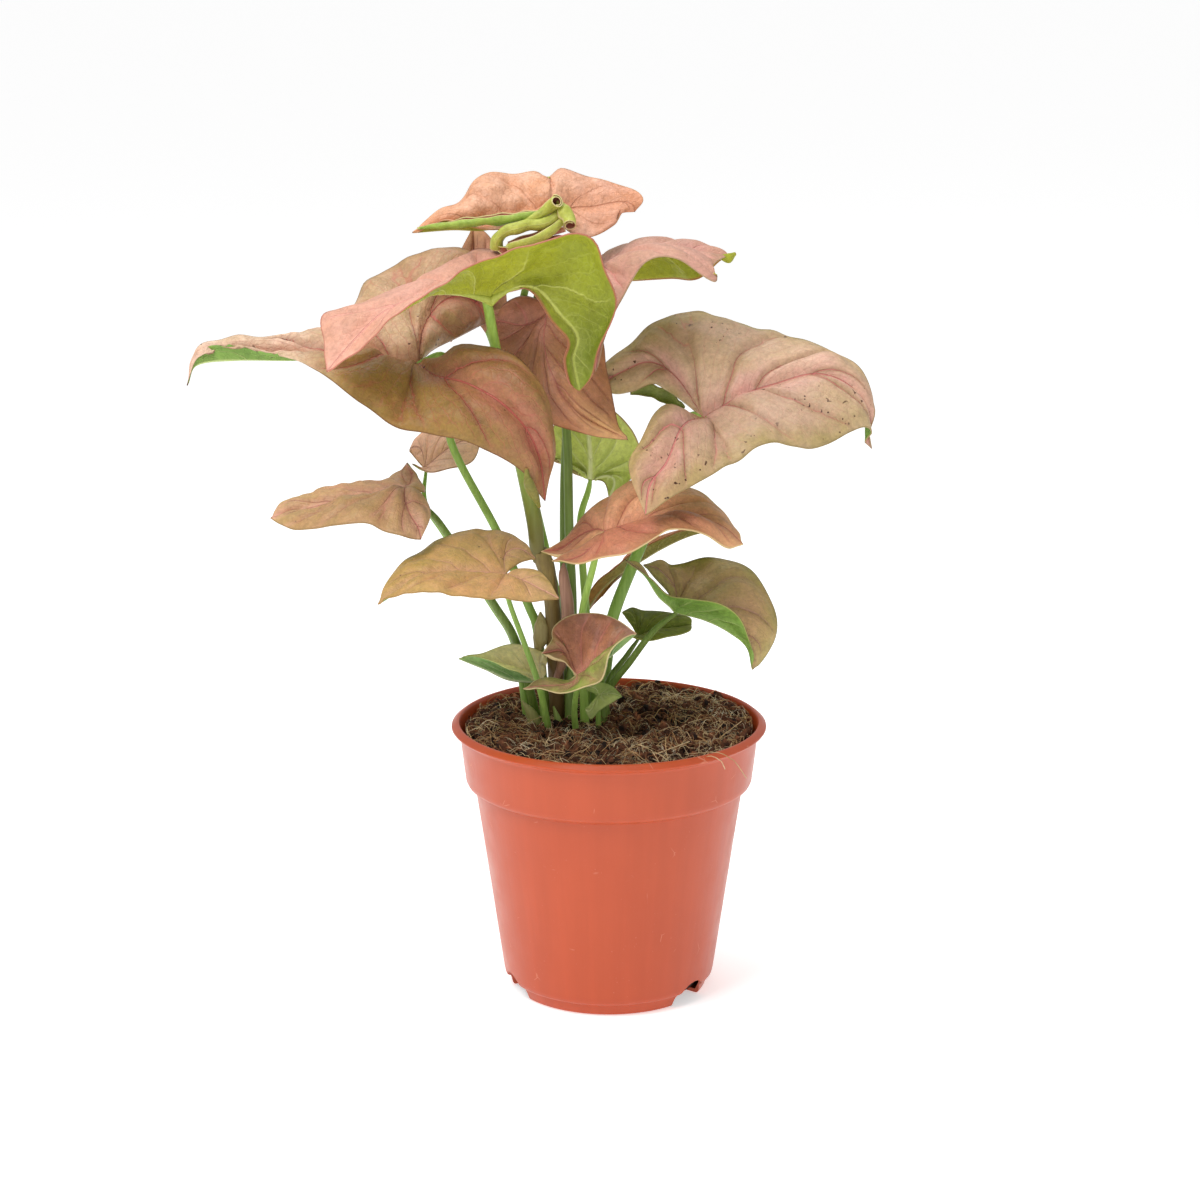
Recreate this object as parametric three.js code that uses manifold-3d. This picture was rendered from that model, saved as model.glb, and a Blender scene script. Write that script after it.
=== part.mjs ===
// Arrowhead plant in its nursery pot.
// Millimetres, +Z up. The origin is the middle of the pot's flat foot, on the surface it stands on.
// The front of the plant is -Y. Headings are degrees from +X, counter-clockwise seen from above.

import * as THREE from 'three';
import { mergeVertices } from 'three/addons/utils/BufferGeometryUtils.js';
import Module from 'manifold-3d';

const wasm = await Module();
wasm.setup();

// ---------------------------------------------------------------- driving dimensions

const GAP = 0.3;              // clearance between neighbouring pieces
const POT_HEIGHT = 105.5;     // a "12 cm" nursery pot
const POT_RIM_RADIUS = 60;
const POT_WALL = 1.2;
const POT_SEGMENTS = 40;
const LIP_HEIGHT = 5;         // the flared lip starts this far below the top
const LIP_DROP = 2.4;         // its widest edge lies this far below the top
const COLLAR_BOTTOM = 82.5;   // the wide collar ends here in a rounded step
const COLLAR_TOP_RADIUS = 56.7;
const COLLAR_BOTTOM_RADIUS = 54.7;
const BODY_TOP_RADIUS = 51.2;
const BODY_BOTTOM_RADIUS = 40.6;
const BODY_BOTTOM = 6.5;      // the taper ends here and the rounded foot begins
const FOOT_RADIUS = 37.3;
const FLOOR_THICKNESS = 1.5;

const NOTCH_HEADINGS = [323, 203, 83];
const NOTCH_WIDTH = 17;
const NOTCH_HEIGHT = 9;
const NOTCH_INNER_RADIUS = 31;

const SOIL_EDGE = 100.5;      // soil level at the pot wall
const SOIL_CROWN = 2.2;       // how far the middle rises above the edge
const SOIL_SEGMENTS = 32;

const BLADE_THICKNESS = 0.8;
const LOBE_ROWS = 4;
const BLADE_ROWS = 8;
const HALF_COLUMNS = 3;
const STALK_SIDES = 6;

// Each blade is set out by a few points, in millimetres. rib runs from the stalk to the leaf tip.
// left and right are the two halves, seen from above looking towards the tip: margin runs from the
// lobe tip to just short of the leaf tip, widest is the index of its point level with the stalk,
// and sinus runs from the lobe tip back to just short of the stalk. puff is how far the half bulges
// out of its upper face between the ribs. stalk runs from the crown to the blade's attachment, with
// stalkRadii spread evenly along it, and seats names the pieces it springs from, if not the soil.
const LEAVES = [
  {
    name: 'top', color: 0xd98a66,
    rib: [[-22, 8, 297], [-33, 5, 295], [-46, 4, 292], [-58, 3, 292], [-72, 0, 291]],
    left: {
      margin: [[-20, 3, 303], [-25, 1, 300], [-31, 0, 299], [-45, -1, 296], [-60, -1, 294]],
      widest: 2, sinus: [[-21, 6, 300]], puff: 1,
    },
    right: {
      margin: [[12, 15, 299], [5, 20, 304], [-7, 22, 307], [-18, 24, 312], [-23, 21, 307], [-28, 20, 311],
        [-39, 20, 311], [-50, 16, 308], [-57, 11, 300], [-66, 5, 295]],
      widest: 4, sinus: [[9, 8, 296], [3, 5, 293], [-4, 2, 290], [-14, 4, 290]], puff: 2,
    },
    stalk: [[-32, -4, 205], [-34, 2, 218], [-37, 7, 240], [-32, 10, 265], [-26, 9, 285], [-22, 9, 300]],
    stalkRadii: [1.6, 1.6], seats: ['leaf_high_left_stalk'],
  },
  {
    name: 'high_left', color: 0xa9a850,
    rib: [[-43, -17, 269], [-55, -22, 272], [-66, -27, 272], [-80, -35, 267], [-92, -42, 256],
      [-100, -45, 247]],
    left: {
      margin: [[-9, -30, 239], [-6, -36, 253], [2, -40, 269], [-2, -40, 283], [-8, -38, 294],
        [-26, -40, 291],
        [-47, -42, 284], [-62, -44, 275], [-79, -46, 262], [-91, -46, 252]],
      widest: 5,
      sinus: [[-17, -26, 247], [-15, -26, 255], [-21, -24, 262], [-28, -22, 272],
        [-36, -19, 273]], puff: -2,
    },
    right: {
      margin: [[-20, 4, 266], [-12, 2, 282], [-16, -5, 290], [-29, 0, 286], [-41, 2, 284], [-51, 0, 283],
        [-69, -6, 274], [-90, -20, 266], [-102, -30, 264], [-101, -38, 255]],
      widest: 3, sinus: [[-30, -5, 271]], puff: 0,
    },
    stalk: [[-26, -1, 168], [-27, -2, 173], [-28, -3, 184], [-32, -6, 206], [-37, -11, 231],
      [-41, -12, 248], [-43, -17, 272]],
    stalkRadii: [2.6, 2.8, 3, 3, 2.4, 1.9, 1.8], seats: ['main_stem'],
  },
  {
    name: 'high_right', color: 0xdca492,
    rib: [[-4, 8, 277], [11, 6, 284], [26, 8, 284], [37, 10, 282], [45, 12, 281]],
    left: {
      margin: [[-14, 28, 262], [-2, 36, 268], [9, 34, 268], [23, 32, 269], [33, 24, 270], [41, 17, 278]],
      widest: 2, sinus: [[-10, 18, 272]], puff: 7,
    },
    right: {
      margin: [[-5, -15, 242], [0, -14, 257], [4, -13, 266], [8, -12, 274], [15, -11, 281], [24, -12, 281],
        [38, -14, 274], [38, -2, 279]],
      widest: 3, sinus: [[-10, -5, 262]], puff: 1,
    },
    stalk: [[-15, 1, 98], [-14, 6, 145], [-15, 4, 177], [-16, 5, 217], [-20, 8, 235], [-27, 14, 264],
      [-17, 15, 275], [-4, 9, 278]],
    stalkRadii: [1.8, 1.8],
  },
  {
    name: 'right', color: 0xcfa287,
    rib: [[35, 0, 222], [49, 2, 230], [61, 4, 234], [78, 4, 238], [92, 0, 231], [97, -5, 215]],
    left: {
      margin: [[-2, 15, 231], [6, 25, 242], [27, 32, 256], [55, 32, 250], [80, 22, 244], [95, 8, 235]],
      widest: 2, sinus: [[7, 15, 229], [15, 14, 234], [23, 8, 231]], puff: 3,
    },
    right: {
      margin: [[13, -40, 194], [29, -40, 204], [44, -35, 211], [58, -28, 217], [76, -22, 215],
        [93, -10, 220]],
      widest: 2, sinus: [[7, -32, 210], [11, -24, 217], [19, -11, 228]], puff: 2,
    },
    stalk: [[-6, 8, 98], [-3, 7, 125], [2, 6, 146], [9, 8, 164], [15, 12, 178], [22, 17, 198],
      [25, 17, 214],
      [27, 11, 225], [31, 5, 228], [36, -1, 222]],
    stalkRadii: [2.3, 2.3],
  },
  {
    name: 'left', color: 0xc4a078,
    rib: [[-70, -5, 243], [-92, -7, 247], [-115, -9, 246], [-136, -10, 246], [-151, -10, 244],
      [-155, -10, 236]],
    left: {
      margin: [[-23, -35, 198], [-35, -42, 213], [-55, -42, 222], [-75, -38, 225], [-88, -33, 232],
        [-101, -26, 240], [-114, -19, 247], [-136, -14, 251], [-149, -12, 248]],
      widest: 3,
      sinus: [[-20, -34, 220], [-23, -31, 237], [-34, -27, 250], [-49, -18, 252], [-62, -10, 246]], puff: 3,
    },
    right: {
      margin: [[-46, 25, 254], [-46, 38, 270], [-59, 40, 280], [-80, 38, 274], [-93, 30, 263],
        [-103, 20, 251], [-117, 3, 251], [-136, -5, 252], [-150, -8, 249]],
      widest: 3, sinus: [[-56, 15, 250], [-65, 3, 247]], puff: 2,
    },
    stalk: [[-24, 9, 98], [-27, 8, 136], [-31, 8, 149], [-42, 9, 176], [-59, 4, 212], [-58, 1, 232],
      [-61, -3, 246], [-70, -6, 244]],
    stalkRadii: [1.7, 1.7],
  },
  {
    name: 'high_back', color: 0xa0704f,
    rib: [[-51, 44, 251], [-52, 50, 270], [-52, 48, 287]],
    left: {
      margin: [[-61, 46, 243], [-66, 46, 252], [-65, 48, 262], [-59, 48, 274], [-55, 48, 282]],
      widest: 2, sinus: [[-56, 44, 249]], puff: 1,
    },
    right: {
      margin: [[-46, 46, 244], [-40, 46, 254], [-40, 48, 264], [-42, 48, 277], [-47, 48, 285]],
      widest: 2, sinus: [[-49, 44, 249]], puff: 1,
    },
    stalk: [[-13, 20, 98], [-16, 21, 130], [-25, 24, 170], [-36, 32, 215], [-46, 44, 246], [-51, 47, 252]],
    stalkRadii: [1.5, 1.5],
  },
  {
    name: 'front_middle', color: 0xb0765a,
    rib: [[-23, 2, 261], [-24, -6, 252], [-21, -13, 241], [-12, -18, 228], [7, -22, 218]],
    left: {
      margin: [[-9, 4, 259], [-3, -1, 252], [-1, -7, 242], [1, -13, 231], [3, -19, 223]],
      widest: 2, sinus: [[-17, 5, 266]], puff: 1,
    },
    right: {
      margin: [[-42, 3, 257], [-43, 2, 248], [-38, -2, 236], [-29, -11, 227], [-18, -17, 222],
        [-3, -20, 219]],
      widest: 2, sinus: [[-39, 3, 264], [-32, 5, 267], [-25, 4, 265]], puff: 1,
    },
    stalk: [[-17, 13, 98], [-17, 12, 140], [-17, 12, 190], [-16, 12, 215], [-15, 9, 238], [-18, 6, 252],
      [-23, 2, 262]],
    stalkRadii: [1.7, 1.7],
  },
  {
    name: 'back_right', color: 0x9fae45,
    rib: [[-7, 22, 194], [-7, 21, 204], [-8, 20, 214], [-10, 19, 225]],
    left: {
      margin: [[0, 22, 187], [6, 20, 192], [12, 19, 203], [9, 18, 213], [3, 17, 220], [-4, 17, 225]],
      widest: 2, sinus: [[-2, 22, 193]], puff: 2,
    },
    right: {
      margin: [[-20, 24, 201], [-24, 24, 204], [-22, 22, 212], [-18, 20, 220]],
      widest: 1, sinus: [[-14, 23, 198]], puff: 2,
    },
    stalk: [[-8, 16, 98], [-8, 16, 130], [-10, 17, 160], [-11, 17, 179], [-8, 20, 190], [-7, 24, 196]],
    stalkRadii: [1.5, 1.5],
  },
  {
    name: 'back_left', color: 0x9a9a50,
    rib: [[-71, 30, 197], [-60, 34, 205], [-49, 38, 208]],
    left: {
      margin: [[-77, 36, 203], [-75, 42, 207], [-68, 46, 210], [-58, 46, 210]],
      widest: 2, sinus: [[-74, 33, 200]], puff: 1,
    },
    right: {
      margin: [[-75, 24, 200], [-68, 22, 197], [-61, 24, 198], [-52, 30, 200]],
      widest: 2, sinus: [[-73, 27, 198]], puff: 1,
    },
    stalk: [[-31, 12, 98], [-36, 14, 130], [-45, 14, 147], [-62, 13, 174], [-70, 18, 186], [-71, 30, 199]],
    stalkRadii: [1.3, 1.3],
  },
  {
    name: 'low_left', color: 0x9c8a55,
    rib: [[-76, 0, 196], [-90, 0, 193], [-108, -1, 189], [-127, 0, 184]],
    left: {
      margin: [[-69, -22, 181], [-77, -24, 182], [-88, -24, 187], [-100, -20, 185], [-114, -12, 182],
        [-122, -5, 182]],
      widest: 2, sinus: [[-66, -12, 188], [-69, -4, 193]], puff: 2,
    },
    right: {
      margin: [[-77, 20, 201], [-80, 26, 196], [-88, 24, 190], [-101, 20, 189], [-113, 12, 189],
        [-122, 5, 187]],
      widest: 2, sinus: [[-72, 12, 197]], puff: 2,
    },
    stalk: [[-27, 14, 98], [-35, 9, 132], [-44, 8, 149], [-61, 7, 176], [-67, 4, 185], [-76, 0, 194]],
    stalkRadii: [1.6, 1.6],
  },
  {
    name: 'front_left', color: 0xa08f5a,
    rib: [[-38, -22, 168], [-56, -27, 170], [-71, -33, 168], [-84, -40, 161]],
    left: {
      margin: [[-18, -32, 161], [-28, -40, 162], [-41, -46, 164], [-59, -48, 166], [-74, -45, 166]],
      widest: 2, sinus: [[-23, -28, 167], [-28, -24, 170]], puff: 1,
    },
    right: {
      margin: [[-27, -11, 171], [-35, -1, 177], [-50, 2, 179], [-61, -2, 177], [-71, -10, 173],
        [-79, -24, 168]],
      widest: 2, sinus: [[-33, -14, 170]], puff: 1,
    },
    stalk: [[-22, -3, 98], [-26, -12, 121], [-31, -13, 137], [-37, -15, 155], [-38, -21, 170]],
    stalkRadii: [1.2, 1.2],
  },
  {
    name: 'front_right', color: 0xd88f72,
    rib: [[-2, -22, 184], [11, -20, 187], [28, -21, 189], [41, -25, 187], [49, -30, 181]],
    left: {
      margin: [[-25, -20, 176], [-17, -12, 178], [-8, -3, 186], [1, 2, 192], [12, 4, 198], [30, 0, 195],
        [40, -10, 190], [45, -20, 185]],
      widest: 3, sinus: [[-18, -20, 177], [-10, -20, 180]], puff: 1,
    },
    right: {
      margin: [[-21, -26, 174], [-12, -34, 174], [-1, -40, 177], [9, -42, 180], [17, -40, 186],
        [23, -38, 188],
        [35, -36, 185], [43, -33, 180]],
      widest: 2, sinus: [[-16, -24, 175], [-9, -24, 179]], puff: 1,
    },
    stalk: [[-9, 1, 98], [-10, 0, 130], [-10, -2, 148], [-6, -8, 167], [-4, -14, 176], [-2, -21, 186]],
    stalkRadii: [1.5, 1.5],
  },
  {
    name: 'edge_right', color: 0x8a4f38,
    rib: [[7, 26, 159], [20, 26, 167], [33, 24, 173], [48, 20, 176]],
    left: {
      margin: [[-5, 32, 142], [2, 38, 150], [12, 38, 158], [24, 38, 165], [37, 32, 171]],
      widest: 2, sinus: [[0, 29, 150]], puff: 1,
    },
    right: {
      margin: [[-7, 20, 142], [-2, 17, 153], [9, 15, 164], [21, 15, 172], [35, 16, 176]],
      widest: 2, sinus: [[-1, 22, 150]], puff: 1,
    },
    stalk: [[-3, 16, 98], [1, 20, 130], [4, 24, 150], [8, 26, 160]],
    stalkRadii: [1.3, 1.3],
  },
  {
    name: 'low_right', color: 0x8b7440,
    rib: [[25, -5, 150], [36, -10, 148], [45, -13, 144], [52, -14, 138], [54, -14, 129]],
    left: {
      margin: [[13, 5, 165], [19, 10, 165], [24, 14, 162], [33, 16, 164], [44, 14, 164], [55, 8, 161],
        [62, 0, 150], [62, -6, 140], [57, -11, 132]],
      widest: 3, sinus: [[17, 0, 161], [22, -3, 156]], puff: 1,
    },
    right: {
      margin: [[6, -12, 171], [15, -14, 164], [22, -15, 158], [30, -17, 157], [39, -20, 156],
        [47, -20, 151],
        [52, -18, 142]],
      widest: 3, sinus: [[12, -10, 168], [18, -9, 157]], puff: -1,
    },
    stalk: [[-2, 3, 98], [-1, 4, 114], [8, 1, 128], [17, -2, 141], [25, -5, 152]],
    stalkRadii: [1.5, 1.5],
  },
  {
    name: 'low_back', color: 0x3f5a2a,
    rib: [[11, 15, 134], [22, 18, 136], [32, 22, 137]],
    left: {
      margin: [[5, 26, 141], [9, 30, 142], [14, 30, 140], [23, 28, 140], [31, 25, 139]],
      widest: 2, sinus: [[8, 21, 138]], puff: 1,
    },
    right: {
      margin: [[5, 10, 139], [9, 6, 136], [17, 6, 135], [24, 10, 135], [31, 16, 136]],
      widest: 2, sinus: [[8, 12, 137]], puff: 1,
    },
    stalk: [[0, 11, 98], [-1, 12, 115], [7, 14, 127], [12, 15, 136]],
    stalkRadii: [1.2, 1.2],
  },
  {
    name: 'small_front', color: 0xb5806a,
    rib: [[-12, -24, 130], [-1, -29, 138], [10, -28, 147]],
    left: {
      margin: [[-25, -20, 137], [-21, -16, 141], [-20, -14, 146], [-13, -13, 150], [-3, -16, 151],
        [4, -22, 150]],
      widest: 2, sinus: [[-21, -22, 135], [-16, -23, 134]], puff: -1,
    },
    right: {
      margin: [[-32, -22, 124], [-24, -28, 125], [-14, -34, 127], [-3, -38, 131], [1, -36, 141],
        [6, -33, 145]],
      widest: 3, sinus: [[-25, -21, 126], [-16, -22, 127]], puff: 1,
    },
    stalk: [[-12, -7, 98], [-13, -13, 112], [-12, -20, 123], [-12, -25, 132]],
    stalkRadii: [1.2, 1.2],
  },
  {
    name: 'small_left', color: 0xa9a24a,
    rib: [[-25, -3, 122], [-37, -8, 124], [-46, -12, 129], [-56, -16, 134]],
    left: {
      margin: [[-28, -8, 123], [-33, -13, 127], [-38, -16, 130], [-48, -16, 134]],
      widest: 2, sinus: [], puff: 0,
    },
    right: {
      margin: [[-24, 2, 124], [-26, 4, 130], [-33, 3, 133], [-39, 1, 134], [-47, -6, 133]],
      widest: 2, sinus: [], puff: 1,
    },
    stalk: [[-24, 2, 98], [-25, 0, 112], [-25, -2, 124]],
    stalkRadii: [1.2, 1.2],
  },
  {
    name: 'base_right', color: 0x7f9a45,
    rib: [[-4, -9, 118], [1, -11, 119], [5, -12, 118]],
    left: {
      margin: [[-10, -6, 120], [-7, -4, 121], [-2, -4, 121], [2, -7, 120]],
      widest: 2, sinus: [], puff: 0,
    },
    right: {
      margin: [[-9, -13, 113], [-7, -15, 110], [-4, -15, 113], [1, -14, 116]],
      widest: 2, sinus: [], puff: 1,
    },
    stalk: [[-4, -3, 98], [-4, -5, 112], [-4, -9, 120]],
    stalkRadii: [1, 1],
  },
];

// Stems, sheaths and the leaf that is still rolled up, each a route with its radii.
const STEMS = [
  {
    name: 'main_stem', look: 'stem',
    route: [[-20, 6, 98], [-20, 5, 113], [-21, 3, 143], [-23, 0, 162], [-26, -2, 171]],
    radii: [3.1, 3, 2.9, 3, 3.4],
  },
  {
    name: 'rolled_new_leaf', look: 'rolled', seats: ['main_stem'],
    route: [[-20, 2, 121], [-17, -1, 131], [-15.5, -2, 148], [-17, -3, 162], [-17, -3, 167]],
    radii: [1.2, 2, 2.5, 2.3, 1],
  },
  {
    name: 'stem_bract', look: 'papery', seats: ['main_stem', 'leaf_left_stalk'],
    route: [[-27, 7, 132], [-25, 5, 139], [-26, 5, 147]],
    radii: [1.2, 2.2, 0.6],
  },
  {
    name: 'base_sheath_left', look: 'papery',
    route: [[-28, 3, 98], [-29, 1, 106], [-33, -1, 113]],
    radii: [2.4, 2.8, 0.8],
  },
  {
    name: 'base_sheath_front', look: 'papery',
    route: [[-18, -3, 98], [-19, -4, 105], [-21, -5, 112]],
    radii: [1.8, 2, 0.6],
  },
];

// The lobes of the youngest leaf that are still furled into tubes, parts of its blade.
const FURLED_LOBES = [
  { route: [[-26, 2, 297], [-21, 1, 301], [-19, 0, 304]], radii: [1.5, 1.9, 2] },
  { route: [[-41, -3, 287], [-39, -4, 291], [-30, -4, 293], [-21, 0, 299]], radii: [1.6, 2.1, 2.1, 1.8] },
];

// ---------------------------------------------------------------- solids

// A closed triangle mesh with shared vertices, as a manifold-3d solid.
function toSolid(geometry) {
  const bare = geometry.clone();
  bare.deleteAttribute('normal');
  bare.deleteAttribute('uv');
  const merged = mergeVertices(bare, 1e-4);
  const mesh = new wasm.Mesh({
    numProp: 3,
    vertProperties: Float32Array.from(merged.attributes.position.array),
    triVerts: Uint32Array.from(merged.index.array),
  });
  return new wasm.Manifold(mesh);
}

function toGeometry(solid) {
  const mesh = solid.getMesh();
  const geometry = new THREE.BufferGeometry();
  geometry.setAttribute('position', new THREE.BufferAttribute(Float32Array.from(mesh.vertProperties), 3));
  geometry.setIndex(new THREE.BufferAttribute(Uint32Array.from(mesh.triVerts), 1));
  geometry.computeVertexNormals();
  return geometry;
}

// The solid and a margin of one clearance on every side, to cut its neighbours with.
function withClearance(solid) {
  const moves = [[GAP, 0, 0], [-GAP, 0, 0], [0, GAP, 0], [0, -GAP, 0], [0, 0, GAP], [0, 0, -GAP]];
  return moves.reduce((grown, move) => grown.add(solid.translate(move)), solid);
}

function largestPiece(solid) {
  const pieces = solid.decompose();
  return pieces.reduce((best, piece) => (piece.volume() > best.volume() ? piece : best));
}

// ---------------------------------------------------------------- blade shape

const vector = (place) => new THREE.Vector3(...place);

const smooth = (places) => new THREE.CatmullRomCurve3(places.map(vector), false, 'catmullrom', 0.5);

// The grid of one half: rows run from the lobe tip to the leaf tip, columns from inside to margin.
function halfGrid(leaf, half) {
  const attach = leaf.rib[0];
  const tip = leaf.rib[leaf.rib.length - 1];
  const lobeTip = half.margin[0];
  const rib = smooth(leaf.rib);
  const sinus = smooth([lobeTip, ...half.sinus, attach]);
  const margin = smooth([...half.margin, tip]);
  const split = half.widest / half.margin.length;
  const rows = [];
  for (let i = 0; i <= LOBE_ROWS + BLADE_ROWS; i += 1) {
    const inLobe = i <= LOBE_ROWS;
    const share = inLobe ? i / LOBE_ROWS : (i - LOBE_ROWS) / BLADE_ROWS;
    const inner = inLobe ? sinus.getPoint(share) : rib.getPoint(share);
    const outer = margin.getPoint(inLobe ? split * share : split + (1 - split) * share);
    const end = i / (LOBE_ROWS + BLADE_ROWS);
    rows.push({ inner, outer, swell: Math.sin(Math.PI * end) });
  }
  return rows;
}

// Upper-face normal of a half, across its whole spread.
function halfNormal(leaf, half, sign) {
  const attach = vector(leaf.rib[0]);
  const forward = vector(leaf.rib[leaf.rib.length - 1]).sub(attach);
  const out = vector(half.margin[half.widest]).sub(attach);
  return forward.cross(out).multiplyScalar(sign).normalize();
}

// A blade is a sheet of two halves that share the midrib, given its thickness downwards.
function bladeGeometry(leaf) {
  const top = [];
  const shared = new Map();
  const faces = [];
  for (const [half, sign] of [[leaf.left, 1], [leaf.right, -1]]) {
    const normal = halfNormal(leaf, half, sign);
    const vertex = (row, j) => {
      const share = j / HALF_COLUMNS;
      const lift = half.puff * row.swell * Math.sin(Math.PI * share);
      const point = row.inner.clone().lerp(row.outer, share).addScaledVector(normal, lift);
      const key = point.toArray().map((value) => value.toFixed(4)).join();
      if (!shared.has(key)) {
        shared.set(key, top.length);
        top.push(point);
      }
      return shared.get(key);
    };
    const columns = Array.from({ length: HALF_COLUMNS + 1 }, (_, j) => j);
    const index = halfGrid(leaf, half).map((row) => columns.map((j) => vertex(row, j)));
    for (let i = 0; i + 1 < index.length; i += 1) {
      for (let j = 0; j < HALF_COLUMNS; j += 1) {
        const [a, b] = [index[i][j], index[i + 1][j]];
        const [c, d] = [index[i + 1][j + 1], index[i][j + 1]];
        for (const face of [[a, b, c], [a, c, d]]) {
          if (new Set(face).size === 3) faces.push(sign > 0 ? face : [face[0], face[2], face[1]]);
        }
      }
    }
  }
  return sheetGeometry(top, faces);
}

// Closes a one-sided sheet: its underside lies a blade's thickness below and a rim joins the two.
function sheetGeometry(top, faces) {
  const normals = top.map(() => new THREE.Vector3());
  for (const [a, b, c] of faces) {
    const normal = top[b].clone().sub(top[a]).cross(top[c].clone().sub(top[a]));
    for (const corner of [a, b, c]) normals[corner].add(normal);
  }
  normals.forEach((normal) => normal.normalize());
  const count = top.length;
  const points = [
    ...top,
    ...top.map((point, i) => point.clone().addScaledVector(normals[i], -BLADE_THICKNESS)),
  ];
  const triangles = [...faces, ...faces.map(([a, b, c]) => [a + count, c + count, b + count])];
  const edges = new Set(faces.flatMap(([a, b, c]) => [`${a},${b}`, `${b},${c}`, `${c},${a}`]));
  for (const edge of edges) {
    const [a, b] = edge.split(',').map(Number);
    if (!edges.has(`${b},${a}`)) triangles.push([b, a, a + count], [b, a + count, b + count]);
  }
  const geometry = new THREE.BufferGeometry();
  geometry.setAttribute('position', new THREE.Float32BufferAttribute(points.flatMap((p) => p.toArray()), 3));
  geometry.setIndex(triangles.flat());
  geometry.computeVertexNormals();
  return geometry;
}

// ---------------------------------------------------------------- pot and soil

// A closed wall profile turned about the pot's axis; the notches let water out at the foot.
function potSolid() {
  const inside = (radius) => radius - POT_WALL;
  const profile = [
    [0, 0], [FOOT_RADIUS, 0], [FOOT_RADIUS + 1.5, 1], [BODY_BOTTOM_RADIUS, BODY_BOTTOM],
    [BODY_TOP_RADIUS, COLLAR_BOTTOM - 2], [BODY_TOP_RADIUS + 1.4, COLLAR_BOTTOM - 1.3],
    [COLLAR_BOTTOM_RADIUS, COLLAR_BOTTOM], [COLLAR_TOP_RADIUS, POT_HEIGHT - LIP_HEIGHT],
    [POT_RIM_RADIUS - 0.4, POT_HEIGHT - LIP_DROP - 1], [POT_RIM_RADIUS, POT_HEIGHT - LIP_DROP],
    [POT_RIM_RADIUS - 1.6, POT_HEIGHT - 0.3], [POT_RIM_RADIUS - 2.2, POT_HEIGHT],
    [COLLAR_TOP_RADIUS + 0.2, POT_HEIGHT], [inside(COLLAR_TOP_RADIUS), POT_HEIGHT - LIP_HEIGHT],
    [inside(COLLAR_BOTTOM_RADIUS), COLLAR_BOTTOM + 2], [inside(BODY_TOP_RADIUS), COLLAR_BOTTOM - 1],
    [inside(BODY_BOTTOM_RADIUS), BODY_BOTTOM], [FOOT_RADIUS - 1, FLOOR_THICKNESS], [0, FLOOR_THICKNESS],
  ];
  const lathe = new THREE.LatheGeometry(profile.map(([r, z]) => new THREE.Vector2(r, z)), POT_SEGMENTS);
  lathe.rotateX(Math.PI / 2);
  let pot = toSolid(lathe);
  for (const heading of NOTCH_HEADINGS) {
    const arch = new THREE.CylinderGeometry(NOTCH_WIDTH / 2, NOTCH_WIDTH / 2, 20, 16);
    arch.scale(NOTCH_HEIGHT / (NOTCH_WIDTH / 2), 1, 1);
    arch.rotateZ(-Math.PI / 2);
    arch.translate(NOTCH_INNER_RADIUS + 10, 0, 0);
    arch.rotateZ(THREE.MathUtils.degToRad(heading));
    pot = pot.subtract(toSolid(arch));
  }
  return pot;
}

// The soil fills the pot with a clearance all round and rises a little towards the stems.
function soilGeometry() {
  const wall = POT_WALL + GAP;
  const profile = [
    [0, FLOOR_THICKNESS + GAP + 1], [FOOT_RADIUS - 2, FLOOR_THICKNESS + GAP + 1],
    [BODY_BOTTOM_RADIUS - wall - 1, BODY_BOTTOM + 3], [BODY_TOP_RADIUS - wall - 0.2, COLLAR_BOTTOM - 1],
    [COLLAR_BOTTOM_RADIUS - wall - 0.2, COLLAR_BOTTOM + 3], [COLLAR_TOP_RADIUS - wall - 0.3, SOIL_EDGE - 2],
    [COLLAR_TOP_RADIUS - wall - 1, SOIL_EDGE],
    [38, SOIL_EDGE + 0.6 * SOIL_CROWN], [20, SOIL_EDGE + SOIL_CROWN],
    [0, SOIL_EDGE + SOIL_CROWN],
  ];
  const lathe = new THREE.LatheGeometry(profile.map(([r, z]) => new THREE.Vector2(r, z)), SOIL_SEGMENTS);
  lathe.rotateX(Math.PI / 2);
  return lathe;
}

// ---------------------------------------------------------------- stalks and stems

// A round rod along a route: an extruded polygon whose rings are then set to the radius given for
// their place on the route.
function rodSolid(route, radii, steps) {
  const section = new THREE.Shape();
  for (let i = 0; i < STALK_SIDES; i += 1) {
    const angle = (2 * Math.PI * i) / STALK_SIDES;
    if (i === 0) section.moveTo(Math.cos(angle), Math.sin(angle));
    else section.lineTo(Math.cos(angle), Math.sin(angle));
  }
  section.closePath();
  const path = smooth(route);
  const centres = path.getSpacedPoints(steps);
  const geometry = new THREE.ExtrudeGeometry(section, { steps, bevelEnabled: false, extrudePath: path });
  const position = geometry.attributes.position;
  for (let i = 0; i < position.count; i += 1) {
    const point = new THREE.Vector3().fromBufferAttribute(position, i);
    const distances = centres.map((centre) => centre.distanceTo(point));
    const ring = distances.indexOf(Math.min(...distances));
    const along = (ring / steps) * (radii.length - 1);
    const below = Math.min(Math.floor(along), radii.length - 2);
    const radius = THREE.MathUtils.lerp(radii[below], radii[below + 1], along - below);
    point.sub(centres[ring]).multiplyScalar(radius).add(centres[ring]);
    position.setXYZ(i, point.x, point.y, point.z);
  }
  return toSolid(geometry);
}

// ---------------------------------------------------------------- assembly

const plant = new THREE.Group();

function place(name, geometry, look) {
  const mesh = new THREE.Mesh(geometry, new THREE.MeshStandardMaterial(look));
  mesh.name = name;
  plant.add(mesh);
}

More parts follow.
